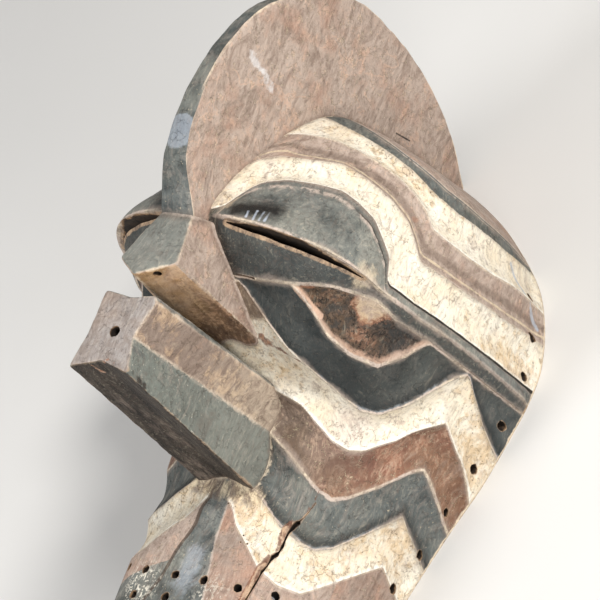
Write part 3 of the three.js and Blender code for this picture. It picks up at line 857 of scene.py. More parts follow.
def paint_values(mesh):
    points = places(mesh)
    store(mesh, "nose_edge", edge_distance(points, NOSE_FRONT, NOSE_BACK))
    store(mesh, "mouth_edge", edge_distance(points, MOUTH_FRONT, MOUTH_BACK, MOUTH_VALLEYS))
    store(mesh, "crest_edge", crest_distance(points))
    joins, cuts = seam_distance(mesh, points)
    store(mesh, "seam", joins)
    store(mesh, "cut", cuts)
    low, out = -points[:, 1], points[:, 0]
    near = np.interp(low, *np.array(CHIN_NEAR).T) - out
    far = out - np.interp(low, *np.array(CHIN_FAR).T)
    store(mesh, "chin_near", np.where(low > CHIN_TOP, near, OUTSIDE_CHIN))
    store(mesh, "chin_far", np.where(low > CHIN_TOP, far, OUTSIDE_CHIN))
    side_edge = SIDE_UP + (SIDE_AHEAD - points[:, 2]) * SIDE_SLOPE
    store(mesh, "mouth_side", points[:, 1] - side_edge)
    wedge = WEDGE_UP + (out - WEDGE_OUT) * WEDGE_SLOPE + low
    store(mesh, "chin_low", np.where(out < 0, wedge, OUTSIDE_CHIN))
    store(mesh, "crack", crack_distance(points))
    peaks = [np.array(at(place, side * share)[0]) for place, share in FOLD for side in (1, -1)]
    folds = [nearest_on(points, a, b) for a, b in zip(peaks, peaks[2:])]
    store(mesh, "fold", np.min(folds, axis=0))
    store_facets(mesh)


paint_values(mask.data)
placed = to_row(places(mask.data))
mask.data.vertices.foreach_set("co", placed.ravel())
mask.data.update()
mask.data.shade_smooth()
mask.data.set_sharp_from_angle(angle=math.radians(38))
print("mask box", np.round(placed.min(0), 4), np.round(placed.max(0), 4))

# %% [markdown]
# ## Writing a finish as sums
# A finish is built from nodes, but it reads better as arithmetic. This small class wraps a
# socket, so that noise, distances and masks can be added and multiplied like numbers. A mask is
# what lies above or below an edge, with a border as soft as it needs to be.

# %% Shader arithmetic
def plug(tree, slot, item):
    if isinstance(item, Value):
        tree.links.new(item.socket, slot)
    else:
        slot.default_value = item


def operator(name):
    return lambda self, *others: self.math(name, *others)


class Value:
    def __init__(self, tree, socket):
        self.tree, self.socket = tree, socket

    def math(self, operation, *others, clamp=False):
        node = self.tree.nodes.new("ShaderNodeMath")
        node.operation, node.use_clamp = operation, clamp
        for slot, item in zip(node.inputs, (self, *others)):
            plug(self.tree, slot, item)
        return Value(self.tree, node.outputs[0])

    __add__ = __radd__ = operator("ADD")
    __mul__ = __rmul__ = operator("MULTIPLY")
    __sub__, __truediv__ = operator("SUBTRACT"), operator("DIVIDE")
    __abs__, least, most = operator("ABSOLUTE"), operator("MINIMUM"), operator("MAXIMUM")

    def __rsub__(self, other):
        return self * -1.0 + other

    def __rtruediv__(self, other):
        return self.math("POWER", -1.0) * other

    def above(self, edge, soft):
        return (self * (1 / soft)).math("ADD", 0.5 - edge / soft, clamp=True)

    def below(self, edge, soft):
        return (self * (-1 / soft)).math("ADD", 0.5 + edge / soft, clamp=True)

    def within(self, low, high, soft):
        return self.above(low, soft) * self.below(high, soft)


print("a value knows", ", ".join(name.strip("_") for name in vars(Value) if name[-2:] != "__"))

# %% [markdown]
# A finish starts from the place on the mask. One method makes any node, and the rest give the
# few that come back often: noise, cells, distances in millimetres and coats of paint, where each
# coat covers the last one by its own share.

# %% Finish
SHEEN = 0.3


class Finish:
    def __init__(self, material):
        material.use_nodes = True
        self.tree = material.node_tree
        self.shader = self.tree.nodes["Principled BSDF"]
        self.place = self.node("ShaderNodeTexCoord", out="Object")

    def node(self, kind, settings=None, inputs=None, out=0):
        node = self.tree.nodes.new(kind)
        for name, value in (settings or {}).items():
            setattr(node, name, value)
        for name, value in (inputs or {}).items():
            plug(self.tree, node.inputs[name], value)
        return Value(self.tree, node.outputs[out])

    def vector(self, operation, *items, out=0):
        return self.node(
            "ShaderNodeVectorMath", {"operation": operation}, dict(enumerate(items)), out)

    def attribute(self, name):
        return self.node("ShaderNodeAttribute", {"attribute_name": name}, out="Fac")

    def axis(self, name):
        return self.node("ShaderNodeSeparateXYZ", inputs={"Vector": self.place}, out=name)

    def stretched(self, *scale):
        return self.node("ShaderNodeMapping", inputs={"Vector": self.place, "Scale": scale})

    def warped(self, size, amount, where=None):
        where = where or self.place
        shift = self.node("ShaderNodeTexNoise", inputs={
            "Vector": where, "Scale": size, "Detail": 3.0}, out="Color")
        centred = self.vector("SUBTRACT", shift, (0.5, 0.5, 0.5))
        return self.vector("MULTIPLY_ADD", centred, (amount, amount, amount), where)

    def noise(self, scale, detail=4.0, roughness=0.6, where=None, warp=0.0):
        return self.node("ShaderNodeTexNoise", inputs={
            "Vector": where or self.place, "Scale": scale, "Detail": detail,
            "Roughness": roughness, "Distortion": warp})

    def cells(self, scale, where, feature="F1"):
        return self.node("ShaderNodeTexVoronoi", {"feature": feature}, {
            "Vector": where, "Scale": scale}, "Distance")

    def grain(self, *along):
        return self.noise(150.0, 6.0, 0.62, self.stretched(*along), 0.4)

    def mix(self, share, first, second):
        return self.node(
            "ShaderNodeMix", {"data_type": "RGBA"}, {0: share, 6: first, 7: second}, 2)

    def coats(self, paint, *layers):
        for share, tone in layers:
            paint = self.mix(share, paint, tone)
        return paint

    def away_from(self, point):
        spot = tuple(to_row(point))
        return self.vector("DISTANCE", self.place, spot, out="Value") * MM

    def from_line(self, start, end, where=None):
        where = where or self.place
        begin, run = to_row(start), to_row(end) - to_row(start)
        gap = self.vector("SUBTRACT", where, tuple(begin))
        reach = self.vector("DOT_PRODUCT", gap, tuple(run / (run @ run)), out="Value")
        held = reach.math("MULTIPLY", 1.0, clamp=True)
        foot = self.vector("MULTIPLY_ADD", held, tuple(run), tuple(begin))
        return self.vector("DISTANCE", where, foot, out="Value") * MM

    def finish(self, tone, roughness, height, strength, depth):
        bump = self.node("ShaderNodeBump", inputs={
            "Height": height, "Strength": strength, "Distance": depth}, out="Normal")
        for name, value in (("Base Color", tone), ("Roughness", roughness), ("Normal", bump),
                            ("Specular IOR Level", SHEEN)):
            plug(self.tree, self.shader.inputs[name], value)
        print("finished with", len(self.tree.nodes), "nodes")


print("a finish knows", ", ".join(name for name in vars(Finish) if name[0] != "_"))

# %% [markdown]
# The palette is the painter's: chalky cream, ochre and red earths, mauve-brown, soot greys, and
# the tones of the wood itself. Colours are written as a screen shows them, and made linear.

# %% Palette
def colour(red, green, blue):
    def linear(c):
        c /= 255
        return c / 12.92 if c <= 0.04045 else ((c + 0.055) / 1.055) ** 2.4

    return (linear(red), linear(green), linear(blue), 1.0)


# The brightest cream is a painted highlight, laid along the cream bands' lower edges.
CREAM, CREAM_WARM, CREAM_HIGHLIGHT = colour(238, 230, 213), colour(223, 204, 172), colour(250, 245, 234)
OCHRE, UMBER, BRICK = colour(204, 164, 106), colour(132, 106, 82), colour(122, 84, 70)
MAUVE, MAUVE_PALE, MAUVE_DARK = colour(162, 144, 131), colour(194, 177, 164), colour(104, 87, 75)
MAUVE_LIT, MAUVE_BROWN = colour(168, 149, 136), colour(140, 116, 102)
RUST, RUST_PALE, RUST_DARK = colour(164, 112, 84), colour(208, 172, 148), colour(106, 68, 52)
SLATE, SLATE_PALE, SLATE_DARK = colour(76, 80, 76), colour(142, 142, 133), colour(36, 41, 42)
SLATE_BLUE, SLATE_GREEN = colour(86, 96, 100), colour(115, 120, 113)
WOOD, WOOD_DARK, WOOD_PALE = colour(182, 146, 110), colour(70, 52, 38), colour(222, 205, 180)
EARTH, EARTH_DARK = colour(84, 66, 50), colour(60, 50, 44)
TORN, TORN_DARK = colour(132, 110, 92), colour(76, 58, 46)
# The soot black also serves as painted shade: inside the openings, in the grooves and beside the
# nose.
SOOT_AND_SHADE, CHALK, CHALK_BLUE = colour(20, 18, 17), colour(214, 210, 208), colour(176, 184, 196)
print("cream is", tuple(round(c, 2) for c in CREAM), "and soot", tuple(round(c, 3) for c in SOOT_AND_SHADE))

# %% [markdown]
# ## Common wear and painted shade
# Every painted surface shares the same ageing: fine dark specks in the paint, thin places where
# the wood shows through, a net of hairline cracks and long scratches, and darkening along the
# joins that is dirt and painted shade together. So one set of noises serves them all, from slow
# clouds to brush strokes a millimetre wide.

# %% Wear shared by all paints
PAINT_DEPTH = 0.0018


class Wear(Finish):
    def __init__(self, material):
        super().__init__(material)
        self.rough = self.noise(110.0, 5.0, 0.7)
        self.cloud = self.noise(30.0, 7.0, 0.64)
        self.broad = self.noise(11.0, 4.0, 0.6)
        self.fine = self.noise(430.0, 3.0, 0.6)
        twisted = self.warped(28.0, 0.03, self.stretched(1.0, 0.5, 1.0))
        self.fibre = self.noise(85.0, 8.0, 0.74, twisted, 1.2)
        network = self.cells(105.0, self.warped(80.0, 0.03), "DISTANCE_TO_EDGE")
        self.lines = network.below(0.026, 0.03) * self.rough.above(0.53, 0.04)
        self.wander = self.rough - 0.5
        self.bent = self.warped(70.0, 0.012)
        brushed = self.warped(22.0, 0.05, self.stretched(1.0, 0.22, 0.6))
        self.strokes = self.noise(420.0, 6.0, 0.7, brushed)
        self.seam = self.attribute("seam")
        self.patchy = (self.cloud + self.rough).above(0.97, 0.12) * 0.75 + 0.25

    def spot(self, point, wobble):
        return self.away_from(point) + self.wander * wobble

    def line(self, start, end, wobble, where=None):
        return self.from_line(start, end, where) + self.wander * wobble

    def drawn(self, lines, tone, wobble, soft, share, where=None):
        return [(self.line(start, end, wobble, where).below(wide, soft) * share, tone)
                for start, end, wide in lines]

    # Darker near the joins of nose, mouth and crest with the face: dirt and painted shade.
    def dirt_and_shade(self, reach, wide):
        return (self.seam + self.rough * reach).below(wide, 3.0)

    def close(self, paint, grit, roughness):
        scuffed = self.cloud.above(0.48, 0.2) * 0.7 + 0.3
        paint = self.coats(
            paint,
            (self.strokes.above(0.62, 0.2) * grit * scuffed, WOOD_PALE),
            (self.strokes.below(0.42, 0.2) * grit * 1.6, MAUVE_DARK))
        height = self.cloud + self.rough * 0.8 + self.strokes * 0.4 - self.lines * 0.3
        self.finish(paint, roughness, height, 1.0, PAINT_DEPTH)


print("the bump of the paint is", round(PAINT_DEPTH * MM, 2), "mm deep")

# %% [markdown]
# ## The paints
# The paints are earths and clay bound with a little glue, brushed on by hand: a chalky cream, a
# mauve-brown, a redder brown on the cheek, and a blue-grey made with soot. Each starts from one
# tone, and its stains, thin places and specks follow as coats, the largest first.

# %% Cream, mauve and red
def cream_paint(w):
    pitted = w.broad.above(0.44, 0.12) * 0.7
    return w.coats(
        CREAM,
        (w.cloud.above(0.5, 0.2) * 0.6, CREAM_WARM),
        ((w.rough + w.broad).above(1.08, 0.16) * 0.5, OCHRE),
        (w.fibre.below(0.43, 0.12) * 0.4, MAUVE_PALE),
        ((w.fibre + w.broad * 0.5).below(0.6, 0.08) * 0.5, MAUVE),
        (w.lines * 0.28, MAUVE_DARK),
        (w.fine.above(0.66, 0.05) * pitted, WOOD_DARK))


def mauve_paint(w):
    return w.coats(
        MAUVE_LIT,
        (w.broad.below(0.5, 0.2) * 0.3, MAUVE_BROWN),
        (w.fibre.above(0.54, 0.3) * 0.8, MAUVE_PALE),
        (w.fibre.below(0.42, 0.18) * 0.55, MAUVE_DARK),
        ((w.cloud + w.fibre * 0.5).above(0.84, 0.18) * 0.4, RUST),
        ((w.rough + w.fibre).above(1.13, 0.06) * 0.4, RUST_PALE),
        (w.lines * 0.4, CREAM_WARM),
        (w.fine.above(0.65, 0.06) * 0.4, SOOT_AND_SHADE))


def red_paint(w, outer):
    deep = w.mix(outer, WOOD_DARK, RUST_DARK)
    return w.coats(
        w.mix(outer, w.mix(0.6, MAUVE, MAUVE_DARK), BRICK),
        ((w.broad + w.fibre).above(0.97, 0.2) * 0.65, UMBER),
        ((w.strokes + w.cloud).above(1.1, 0.1) * 0.25, RUST_PALE),
        (w.fibre.above(0.58, 0.2) * 0.3, MAUVE_PALE),
        ((w.cloud + w.fibre * 0.5).below(0.7, 0.14) * 0.55, deep),
        (w.cloud.above(0.55, 0.2) * outer * 0.35, RUST),
        (w.lines * 0.4, CREAM_WARM),
        (w.fine.above(0.64, 0.06) * 0.45, SOOT_AND_SHADE))


print("ready:", ", ".join(p.__name__ for p in (cream_paint, mauve_paint, red_paint)))

# %% [markdown]
# The crescent under the eye is nearly bare: most of its dark coat is gone, and what is left has
# sunk into the grain. The blue-grey is thin too, so it goes pale where hands have polished it.

# %% Crescent and slate
def crescent_paint(w):
    return w.coats(
        EARTH_DARK,
        (w.broad.above(0.48, 0.2), EARTH),
        ((w.cloud + w.fibre * 0.5).above(0.86, 0.14) * 0.45, RUST),
        (w.fibre.above(0.58, 0.16) * 0.25, MAUVE),
        ((w.rough + w.cloud).below(0.96, 0.1) * 0.8, SLATE_DARK),
        ((w.rough + w.fine).above(1.08, 0.08) * 0.8, SOOT_AND_SHADE))


def slate_paint(w, pale):
    return w.coats(
        SLATE,
        (w.cloud.above(0.52, 0.34) * pale, SLATE_PALE),
        (w.broad.above(0.5, 0.2) * 0.4, SLATE_BLUE),
        (w.cloud.below(0.42, 0.2) * 0.6, SLATE_DARK),
        (w.fibre.above(0.6, 0.2) * 0.3, MAUVE_PALE),
        (w.fibre.below(0.36, 0.12) * 0.4, SLATE_DARK),
        (w.fine.above(0.69, 0.04) * 0.5, CREAM_WARM))


print("ready:", ", ".join(p.__name__ for p in (crescent_paint, slate_paint)))

# %% [markdown]
# ## The face's bands
# The band value rises by one from each carved line to the next, so the colour changes where it
# passes a whole number. Noise moves that border by about a millimetre, as a brush would.

# %% Bands
FACE_VALUES = ("band", "width", "rimward", "share", "cut", "fold", "crack", "chin_low",
               "chin_near", "chin_far")
CRISP, BORDER = 0.01, 0.02


class Face(Wear):
    def __init__(self):
        super().__init__(PAINTS["face_paint"])
        for name in FACE_VALUES:
            setattr(self, name, self.attribute(name))
        self.part = self.band.math("FRACT")
        self.from_upper = self.part * self.width
        self.from_lower = (1.0 - self.part) * self.width
        self.ridge = self.part.least(1.0 - self.part) * self.width
        self.slate, self.slate_worn = slate_paint(self, 0.5), slate_paint(self, 1.0)
        self.lid = self.zone("upper_lid") * self.share.below(LID_END, CRISP)
        self.gloss = self.line((36, 19, -20), (60, 24, -32), 20.0).below(9.5, 11.0)
        strip = self.chin_near.least(self.chin_far)
        self.strip = (strip + self.wander * 2.5).above(0.0, 0.8)

    def zone(self, first, last=None, soft=CRISP):
        return self.band.within(
            ZONE_NAMES.index(first), ZONE_NAMES.index(last or first) + 1, soft)

    def lay(self, step):
        self.paint = step(self, self.paint)
        print(step.__name__, "laid,", len(self.tree.nodes), "nodes so far")


def lay_bands(w):
    cream, mauve = cream_paint(w), mauve_paint(w)
    depth = (0.9 - w.share.above(0.52, 0.2) * 0.3) * (w.broad.below(0.55, 0.3) * 0.3 + 0.7)
    special = {
        "upper_lid": w.slate_worn,
        "lower_lid": w.mix(0.62, w.slate, SLATE_DARK),
        "crescent": crescent_paint(w),
        "dark_cheek": w.mix(depth, w.slate, SLATE_DARK),
        "red_cheek": red_paint(w, w.share.above(0.42, 0.3)),
    }
    kinds = {"slate": w.slate, "cream": cream, "mauve": mauve, "crown": mauve, "chin": mauve}
    tones = [special.get(name) or kinds[name.split("_")[0]] for name in ZONE_NAMES]
    moved = w.band + w.wander * 5.0 / w.width.most(6.0)
    return w.coats(tones[0], *(
        (moved.above(float(i), BORDER), tone) for i, tone in enumerate(tones) if i))


face = Face()
face.paint = lay_bands(face)
print(len(ZONES), "bands laid,", len(face.tree.nodes), "nodes so far")

# %% [markdown]
# ## The lids
# The upper lid was painted in one dark coat with a sooty line along its upper edge. It has gone
# pale in the middle and rubbed along the rim. Near the nose a dark, glossy patch is left, and
# four short pale strokes cross it.

# %% Upper lid
GLOSS_STROKES = [
    ((46.4, 13.1, -21.1), (45.1, 18.4, -23.0), 1.25),
    ((52.6, 12.1, -22.7), (51.1, 20.5, -25.7), 1.25),
    ((57.0, 12.7, -24.4), (56.0, 21.4, -27.9), 1.25),
    ((61.0, 13.5, -25.9), (59.6, 21.8, -29.6), 1.25)]


def paint_lid(w, paint):
    ring = w.from_upper + w.wander * 4.0
    scuffed = (w.rough + w.fibre).above(0.98, 0.12) * 0.8 + 0.1
    # A dark line a few millimetres in from the lid's edge is the painted shadow of a groove.
    groove_shade = abs(ring - 6.6).below(0.8, 0.7) * w.share.above(0.3, 0.06)
    return w.coats(
        paint,
        (w.lid * w.share.above(0.26, 0.2) * w.fibre.above(0.43, 0.2) * 0.65, SLATE_PALE),
        (w.lid * ring.below(10.5, 3.0) * scuffed, MAUVE_PALE),
        (w.lid * ring.below(6.2, 2.0) * 0.9, w.slate),
        (w.lid * groove_shade * 0.8, SOOT_AND_SHADE),
        (w.lid * ring.below(1.2, 0.8) * 0.8, SOOT_AND_SHADE),
        (w.gloss * 0.95, SOOT_AND_SHADE),
        *w.drawn(GLOSS_STROKES, CHALK_BLUE, 1.6, 0.8, 0.9))


face.lay(paint_lid)

# %% [markdown]
# ## Cheeks and brow
# The crescent keeps one patch of clay at its outer end and a raw lower edge. The dark bands are
# darker along their lower edges, and on the highest points there lies a pale line, dusted chalk
# and painted highlight together. The mauve brow has a brown streak and a thin raised line.

# %% Cheeks and brow
def wear_cheek(w, paint):
    patch, crescent = w.spot((121, -3.5, -113), 26.0), w.zone("crescent", soft=BORDER)
    clay = w.coats(
        w.mix(0.5, CREAM_WARM, MAUVE),
        (w.cloud.above(0.45, 0.2) * 0.8, w.mix(0.5, OCHRE, MAUVE)),
        (w.fibre.below(0.46, 0.1) * 0.7, MAUVE))
    edge = w.from_lower + w.wander * 7.0
    dark = w.zone("dark_cheek") + w.zone("slate_jaw")
    # A pale line on the dark bands' lower ridges: chalky dust and painted highlight.
    chalk_and_highlight = w.cloud.above(0.52, 0.1) * dark * w.share.above(0.3, 0.1)
    return w.coats(
        paint,
        (patch.below(17.5, 3.0) * crescent * 0.6, RUST),
        (patch.below(14.5, 4.0) * crescent * 0.9, clay),
        (edge.below(4.5, 3.0) * crescent * 0.6, RUST_PALE),
        (edge.below(9.5, 7.0) * dark * 0.75, SLATE_DARK),
        (edge.below(2.6, 2.4) * chalk_and_highlight * 0.7, w.mix(0.5, CHALK_BLUE, SLATE_PALE)))


def wear_brow(w, paint):
    brow = w.zone("mauve_brow")
    streak = abs((w.part - 0.45) * w.width) + w.wander * 10.0
    raised = abs((w.part - 0.72) * w.width) + w.wander * 4.0
    bend = w.spot((87, -79, -185), 16.0).below(20.0, 12.0)
    scraped = w.mix(w.fibre.above(0.5, 0.16), MAUVE, CREAM_WARM)
    return w.coats(
        paint,
        (streak.below(3.6, 3.0) * brow * 0.55, MAUVE_DARK),
        (raised.below(1.3, 1.0) * brow * 0.7, CREAM_WARM),
        (w.line((76.7, -17.9, -72), (89.5, -26.5, -96.4), 3.0).below(2.4, 1.2) * 0.8, RUST_PALE),
        (bend * w.zone("cream_cheek") * 0.4, MAUVE_PALE),
        (w.spot((121, 7, -88), 24.0).below(10.0, 6.0) * 0.6, scraped),
        (w.spot((17, 25, -22), 24.0).below(9.0, 6.0) * 0.6, scraped),
        (w.line((81, -13.5, -72), (87, -13.5, -77), 5.0).below(2.2, 1.5) * 0.7, RUST),
        (w.spot((113.9, 80.7, -128.9), 4.0).below(3.0, 2.0) * 0.4, RUST))


face.lay(wear_cheek)
face.lay(wear_brow)

# %% [markdown]
# ## The chin
# A pale grey strip runs down the middle of the chin and a grey wedge lies at its far corner.
# Both were painted over the mauve, so they cover it here too, each up to its own drawn line.

# %% Chin
def paint_chin(w, paint):
    low = (w.chin_low + w.wander * 3.0).above(0.0, 0.8)
    return w.coats(paint, (low, w.slate_worn), (w.strip, w.slate_worn))


face.lay(paint_chin)

# %% [markdown]
# ## The ridges
# Every ridge between two bands is rubbed down to the wood, less so over the eye, and dust has
# gathered beside it. The cream bands get a painted highlight along their lower edge instead. Just
# under each ridge the paint is darker, dirt and painted shade together, and the fold of the cheeks
# gets a line of painted shade. The upper edge of the temple bar was cut deep, and its shadow line
# is nearly black.

# %% Ridges
def rub_ridges(w, paint):
    open_face = 1.0 - w.strip
    cream = sum((w.zone(name) for name in ("cream_eye", "cream_cheek", "cream_jaw")),
                w.zone("cream_brow")) * open_face
    fold_shade = (w.fold + w.wander * 3.0).below(1.5, 1.2) * (w.cloud.above(0.46, 0.16) * 0.5 + 0.3)
    top_line = w.band.within(4.5, 5.5, CRISP)
    bar = w.zone("upper_lid", "crescent") * w.share.above(0.5, 0.04)
    worn = (w.ridge + w.wander * 5.0).below(1.5, 1.0) * w.patchy
    kept = (1.0 - top_line * 0.7) * (1.0 - bar * 0.55)
    return w.coats(
        paint,
        # Painted shade along the fold of the cheeks: a narrow dark line and a broad soft one.
        (fold_shade, MAUVE_DARK),
        ((w.fold + w.cloud * 14.0).below(10.0, 6.0) * 0.2, MAUVE_DARK),
        ((w.ridge + w.cloud * 24.0).below(13.6, 5.0) * 0.4 * (open_face - cream), MAUVE_PALE),
        # Darker just under each ridge: dirt and painted shade.
        ((w.from_upper + w.rough * 5.0).below(4.6, 3.0) * 0.35 * open_face, MAUVE_DARK),
        (worn * (open_face - cream) * kept, w.mix(w.cloud.above(0.5, 0.1), WOOD_PALE, MAUVE_PALE)),
        # Painted highlight along the lower edge of the cream bands.
        ((w.from_lower + w.wander * 7.0).below(2.8, 2.0) * cream * 0.65, CREAM_HIGHLIGHT),
        # Nearly black painted shadow line along the temple bar's upper edge.
        ((w.ridge + w.rough * 2.0).below(2.3, 0.6) * top_line * w.share.above(0.45, CRISP), SOOT_AND_SHADE))


face.lay(rub_ridges)

# %% [markdown]
# ## Wear of the chin
# Along its far side the strip has a dark line, the painted shadow of a cut groove, and it is
# chalky in the middle. Its near side is scuffed, and round the lacing holes the paint has come off
# in pale flecks.

# %% Chin wear
FLECKS = [((-42, -237, -177), 17.0), ((28, -234, -175), 13.0)]


def wear_chin(w, paint):
    # The dark line along the strip's far side is the painted shadow of a groove.
    groove_shade = (abs(w.chin_far) + w.rough * 1.6).below(2.5, 0.6) * w.chin_near.above(2.0, 1.0)
    chalky = w.line((0, -207, -175), (0, -229, -175), 24.0).below(9.0, 8.0)
    fine = (w.fine + w.strokes * 0.6 + w.rough * 0.6).above(1.16, 0.06)
    flecks = [(w.spot(place, 36.0).below(reach, 14.0) * fine * 0.8, CREAM)
              for place, reach in FLECKS]
    scuffed = (abs(w.chin_near) + w.rough * 5.0).below(3.4, 1.0) * w.chin_far.above(2.0, 1.0)
    return w.coats(
        paint,
        (groove_shade * 0.85, w.mix(0.5, SOOT_AND_SHADE, MAUVE_DARK)),
        (chalky * w.cloud.above(0.4, 0.2) * 0.35, CHALK_BLUE),
        *flecks,
        (scuffed * 0.6, MAUVE_PALE))


face.lay(wear_chin)

# %% [markdown]
# ## Rim and joins
# The rim has lost its paint to handling. Where nose and mouth meet the face, a brush doesn't
# reach: the corners are dirty and darkened with painted shade, there is raw wood beside them, a
# painted shadow lies along the nose on the eye's side, and the fibres under the nose were torn by
# the chisel and never cleaned up.

# %% Rim and joins
def dirty_shaded_joins(w, paint):
    brown_strip = w.line((34, -23, -53), (46, -37, -75), 10.0, w.bent).below(10.0, 5.0)
    mess = w.line((43, -48, -92), (60, -54, -112), 16.0, w.bent).below(9.0, 5.0)
    torn_wood = w.coats(
        CREAM,
        (w.strokes.above(0.6, 0.1), w.mix(0.5, RUST, OCHRE)),
        (w.fibre.below(0.38, 0.06) * 0.6, RUST_DARK))
    # Painted shadow along the nose on the eye's side.
    shadow_beside_nose = w.zone("upper_lid", "crescent") * (w.seam + w.wander * 6.0).below(6.5, 8.0)
    under_mouth = w.line((-26, -149, -176), (30, -149, -176), 22.0, w.bent).below(8.0, 6.0)
    return w.coats(
        paint,
        (w.line((125, 111, -252), (139, 78, -298), 6.0).below(2.2, 1.5) * 0.7, CHALK_BLUE),
        ((w.rimward + w.rough * 5.0).below(4.4, 1.0), WOOD_PALE),
        # Dirt and painted shade along the joins.
        (w.dirt_and_shade(9.0, 6.6) * 0.5, MAUVE_DARK),
        ((w.seam + w.fibre * 24.0).below(12.5, 2.0) * 0.65, WOOD_PALE),
        (brown_strip * w.band.above(8.95, 0.1) * 0.85,
         w.mix(w.fibre.above(0.5, 0.2), TORN_DARK, TORN)),
        (mess * w.band.above(8.98, 0.06) * 0.8, torn_wood),
        # The painted shadow beside the nose.
        (shadow_beside_nose * 0.8, SOOT_AND_SHADE),
        (under_mouth * 0.75, w.mix(w.fibre.above(0.5, 0.1), MAUVE_DARK, CREAM_WARM)))


face.lay(dirty_shaded_joins)

# %% [markdown]
# ## The drying crack
# The jaw split along the grain as the block dried, after it was painted. Beside the crack a strip
# of raw, splintered wood shows, with a dark line where the paint stops. Three short tears under
# the nose are the same orange wood.

# %% Crack and tears
STRIP_WIDE, JAW_TOP = 4.3, -0.158
TEARS = [((43, -49.5, -96), (48, -52.5, -103), 3.4), ((48, -52.5, -103), (58, -54.5, -111), 1.7),
         ((58, -54.5, -111), (68, -56, -117), 1.1)]


def open_crack(w, paint):
    edge = w.crack + w.wander * 5.0
    split = (w.crack + w.wander * 3.0).above(0.0, 0.5) * edge.below(STRIP_WIDE, 0.8)
    on_jaw = w.axis("Y").below(JAW_TOP, 0.003)
    raw = w.mix(w.cloud.above(0.5, 0.2), WOOD, w.mix(0.5, RUST, WOOD_PALE))
    wedge = w.crack.above(3.0, 1.0) * w.chin_near.below(-1.0, 1.0) * (
        w.band.above(ZONE_NAMES.index("chin"), CRISP))
    return w.coats(
        paint,
        (split * on_jaw * 0.95, w.mix(w.fibre.above(0.46, 0.1), RUST_DARK, raw)),
        (abs(edge - STRIP_WIDE).below(0.7, 0.5) * w.patchy * on_jaw * 0.8, RUST_DARK),
        (wedge * 0.35, w.mix(w.cloud.above(0.5, 0.2), MAUVE_DARK, RUST)),
        (abs(w.crack).below(2.2, 1.4) * w.rough.above(0.46, 0.1) * 0.7, RUST_DARK),
        *w.drawn(TEARS, w.mix(w.strokes.above(0.5, 0.1), RUST_DARK, RUST), 7.0, 1.4, 0.85, w.bent))


face.lay(open_crack)

# %% [markdown]
# ## The face as a whole
# The coats went on in the order in which they came to the real mask: paint, wear, dirt, damage,
# and the painted shade goes on together with the wear and the dirt.
# Last, the raw wood shows at every cut edge, widest along the lower side of the eye slit. The
# glossy patch stays smooth, and the dark cheek has fewer scratches than the rest.

# %% Face paint
def raw_edges(w, paint):
    lip = w.zone("lower_lid")
    chipped = (w.cut + w.rough * 5.0 - lip * 2.4).below(2.9, 0.8)
    raw = w.mix(w.fibre.above(0.5, 0.2), MAUVE_DARK, w.mix(0.25, WOOD, WOOD_PALE))
    return w.mix(chipped * (0.85 - w.lid * 0.5), paint, raw)


face.lay(raw_edges)
grit = (1.0 - face.gloss) * (1.0 - face.zone("dark_cheek") * 0.6) * 0.25
face.close(face.paint, grit, 0.62 + face.cloud * 0.35 - face.gloss * 0.3)

# %% [markdown]
# ## Bare wood
# The hollow was never painted. It is light wood with gouge marks, darkened by sweat and smoke.
# Round every opening the walls are painted nearly black, as painted shade.

# %% Bare wood
FLOOR_CLEAR, CHIN_CLEAR = 0.008, -0.253


def bare_finish():
    f = Finish(PAINTS["bare_wood"])
    grain, cut = f.grain(1.0, 0.14, 1.0), f.attribute("cut")
    gouge = f.cells(52.0, f.stretched(1.0, 0.4, 1.0))
    walls = f.axis("Z").above(FLOOR_CLEAR, 0.004) * f.axis("Y").above(CHIN_CLEAR, 0.004)
    # Painted shade: the walls round every opening go nearly black a couple of millimetres past the
    # edge.
    deep = (cut + grain * 2.0).above(2.2, 1.2) * cut.below(22.0, 12.0)
    tone = f.coats(
        WOOD,
        (grain.above(0.5, 0.3), WOOD_DARK),
        (f.noise(14.0, 5.0).above(0.5, 0.3) * 0.7, WOOD_DARK),
        (walls * deep * 0.9, SOOT_AND_SHADE))
    f.finish(tone, 0.75 + grain * 0.2, grain * 0.3 + gouge * 0.6, 0.7, 0.002)


bare_finish()

# %% [markdown]
# ## Crest
# The crest's sides are mauve, its narrow front is blue-grey and fades at the top. It was knocked
# near its highest point, which left two pale scrapes, and a small crack starts at the back.

# %% Crest paint
SCRAPES = [((7.3, 142, 3), (7.3, 137, -15), 2.0), ((7.3, 138, -17), (7.3, 131, -34), 2.0)]


def crest_finish():
    w = Wear(PAINTS["crest_paint"])
    front = abs(w.attribute("facing_out")).below(0.7, 0.1)
    rubbed = w.noise(16.0, 5.0, 0.6, w.warped(9.0, 0.08, w.stretched(1.0, 1.0, 0.7)))
    vein = abs(rubbed - 0.5).below(0.008, 0.012) * w.broad.above(0.48, 0.1)
    faded = w.spot((0, 52, 36), 8.0).below(14.0, 2.0)
    edge = (w.attribute("crest_edge") + w.rough * 4.0).below(3.3, 0.7) * w.patchy
    paint = w.coats(
        mauve_paint(w),
        *w.drawn(SCRAPES, CHALK, 20.0, 3.0, 0.7, w.bent),
        (vein * 0.45, RUST_PALE),
        (w.line((7, 193, -197), (7, 198, -217), 2.0).below(0.7, 0.5) * 0.9, SOOT_AND_SHADE),
        (front, w.mix(faded * 0.4, slate_paint(w, 0.6), CHALK_BLUE)),
        (edge * (1.0 - front) * 0.85, WOOD_PALE),
        # Dirt and painted shade where the crest joins the face.
        (w.dirt_and_shade(9.0, 6.6) * 0.3, MAUVE_DARK))
    w.close(paint, 0.17, 0.62 + w.cloud * 0.3)


crest_finish()

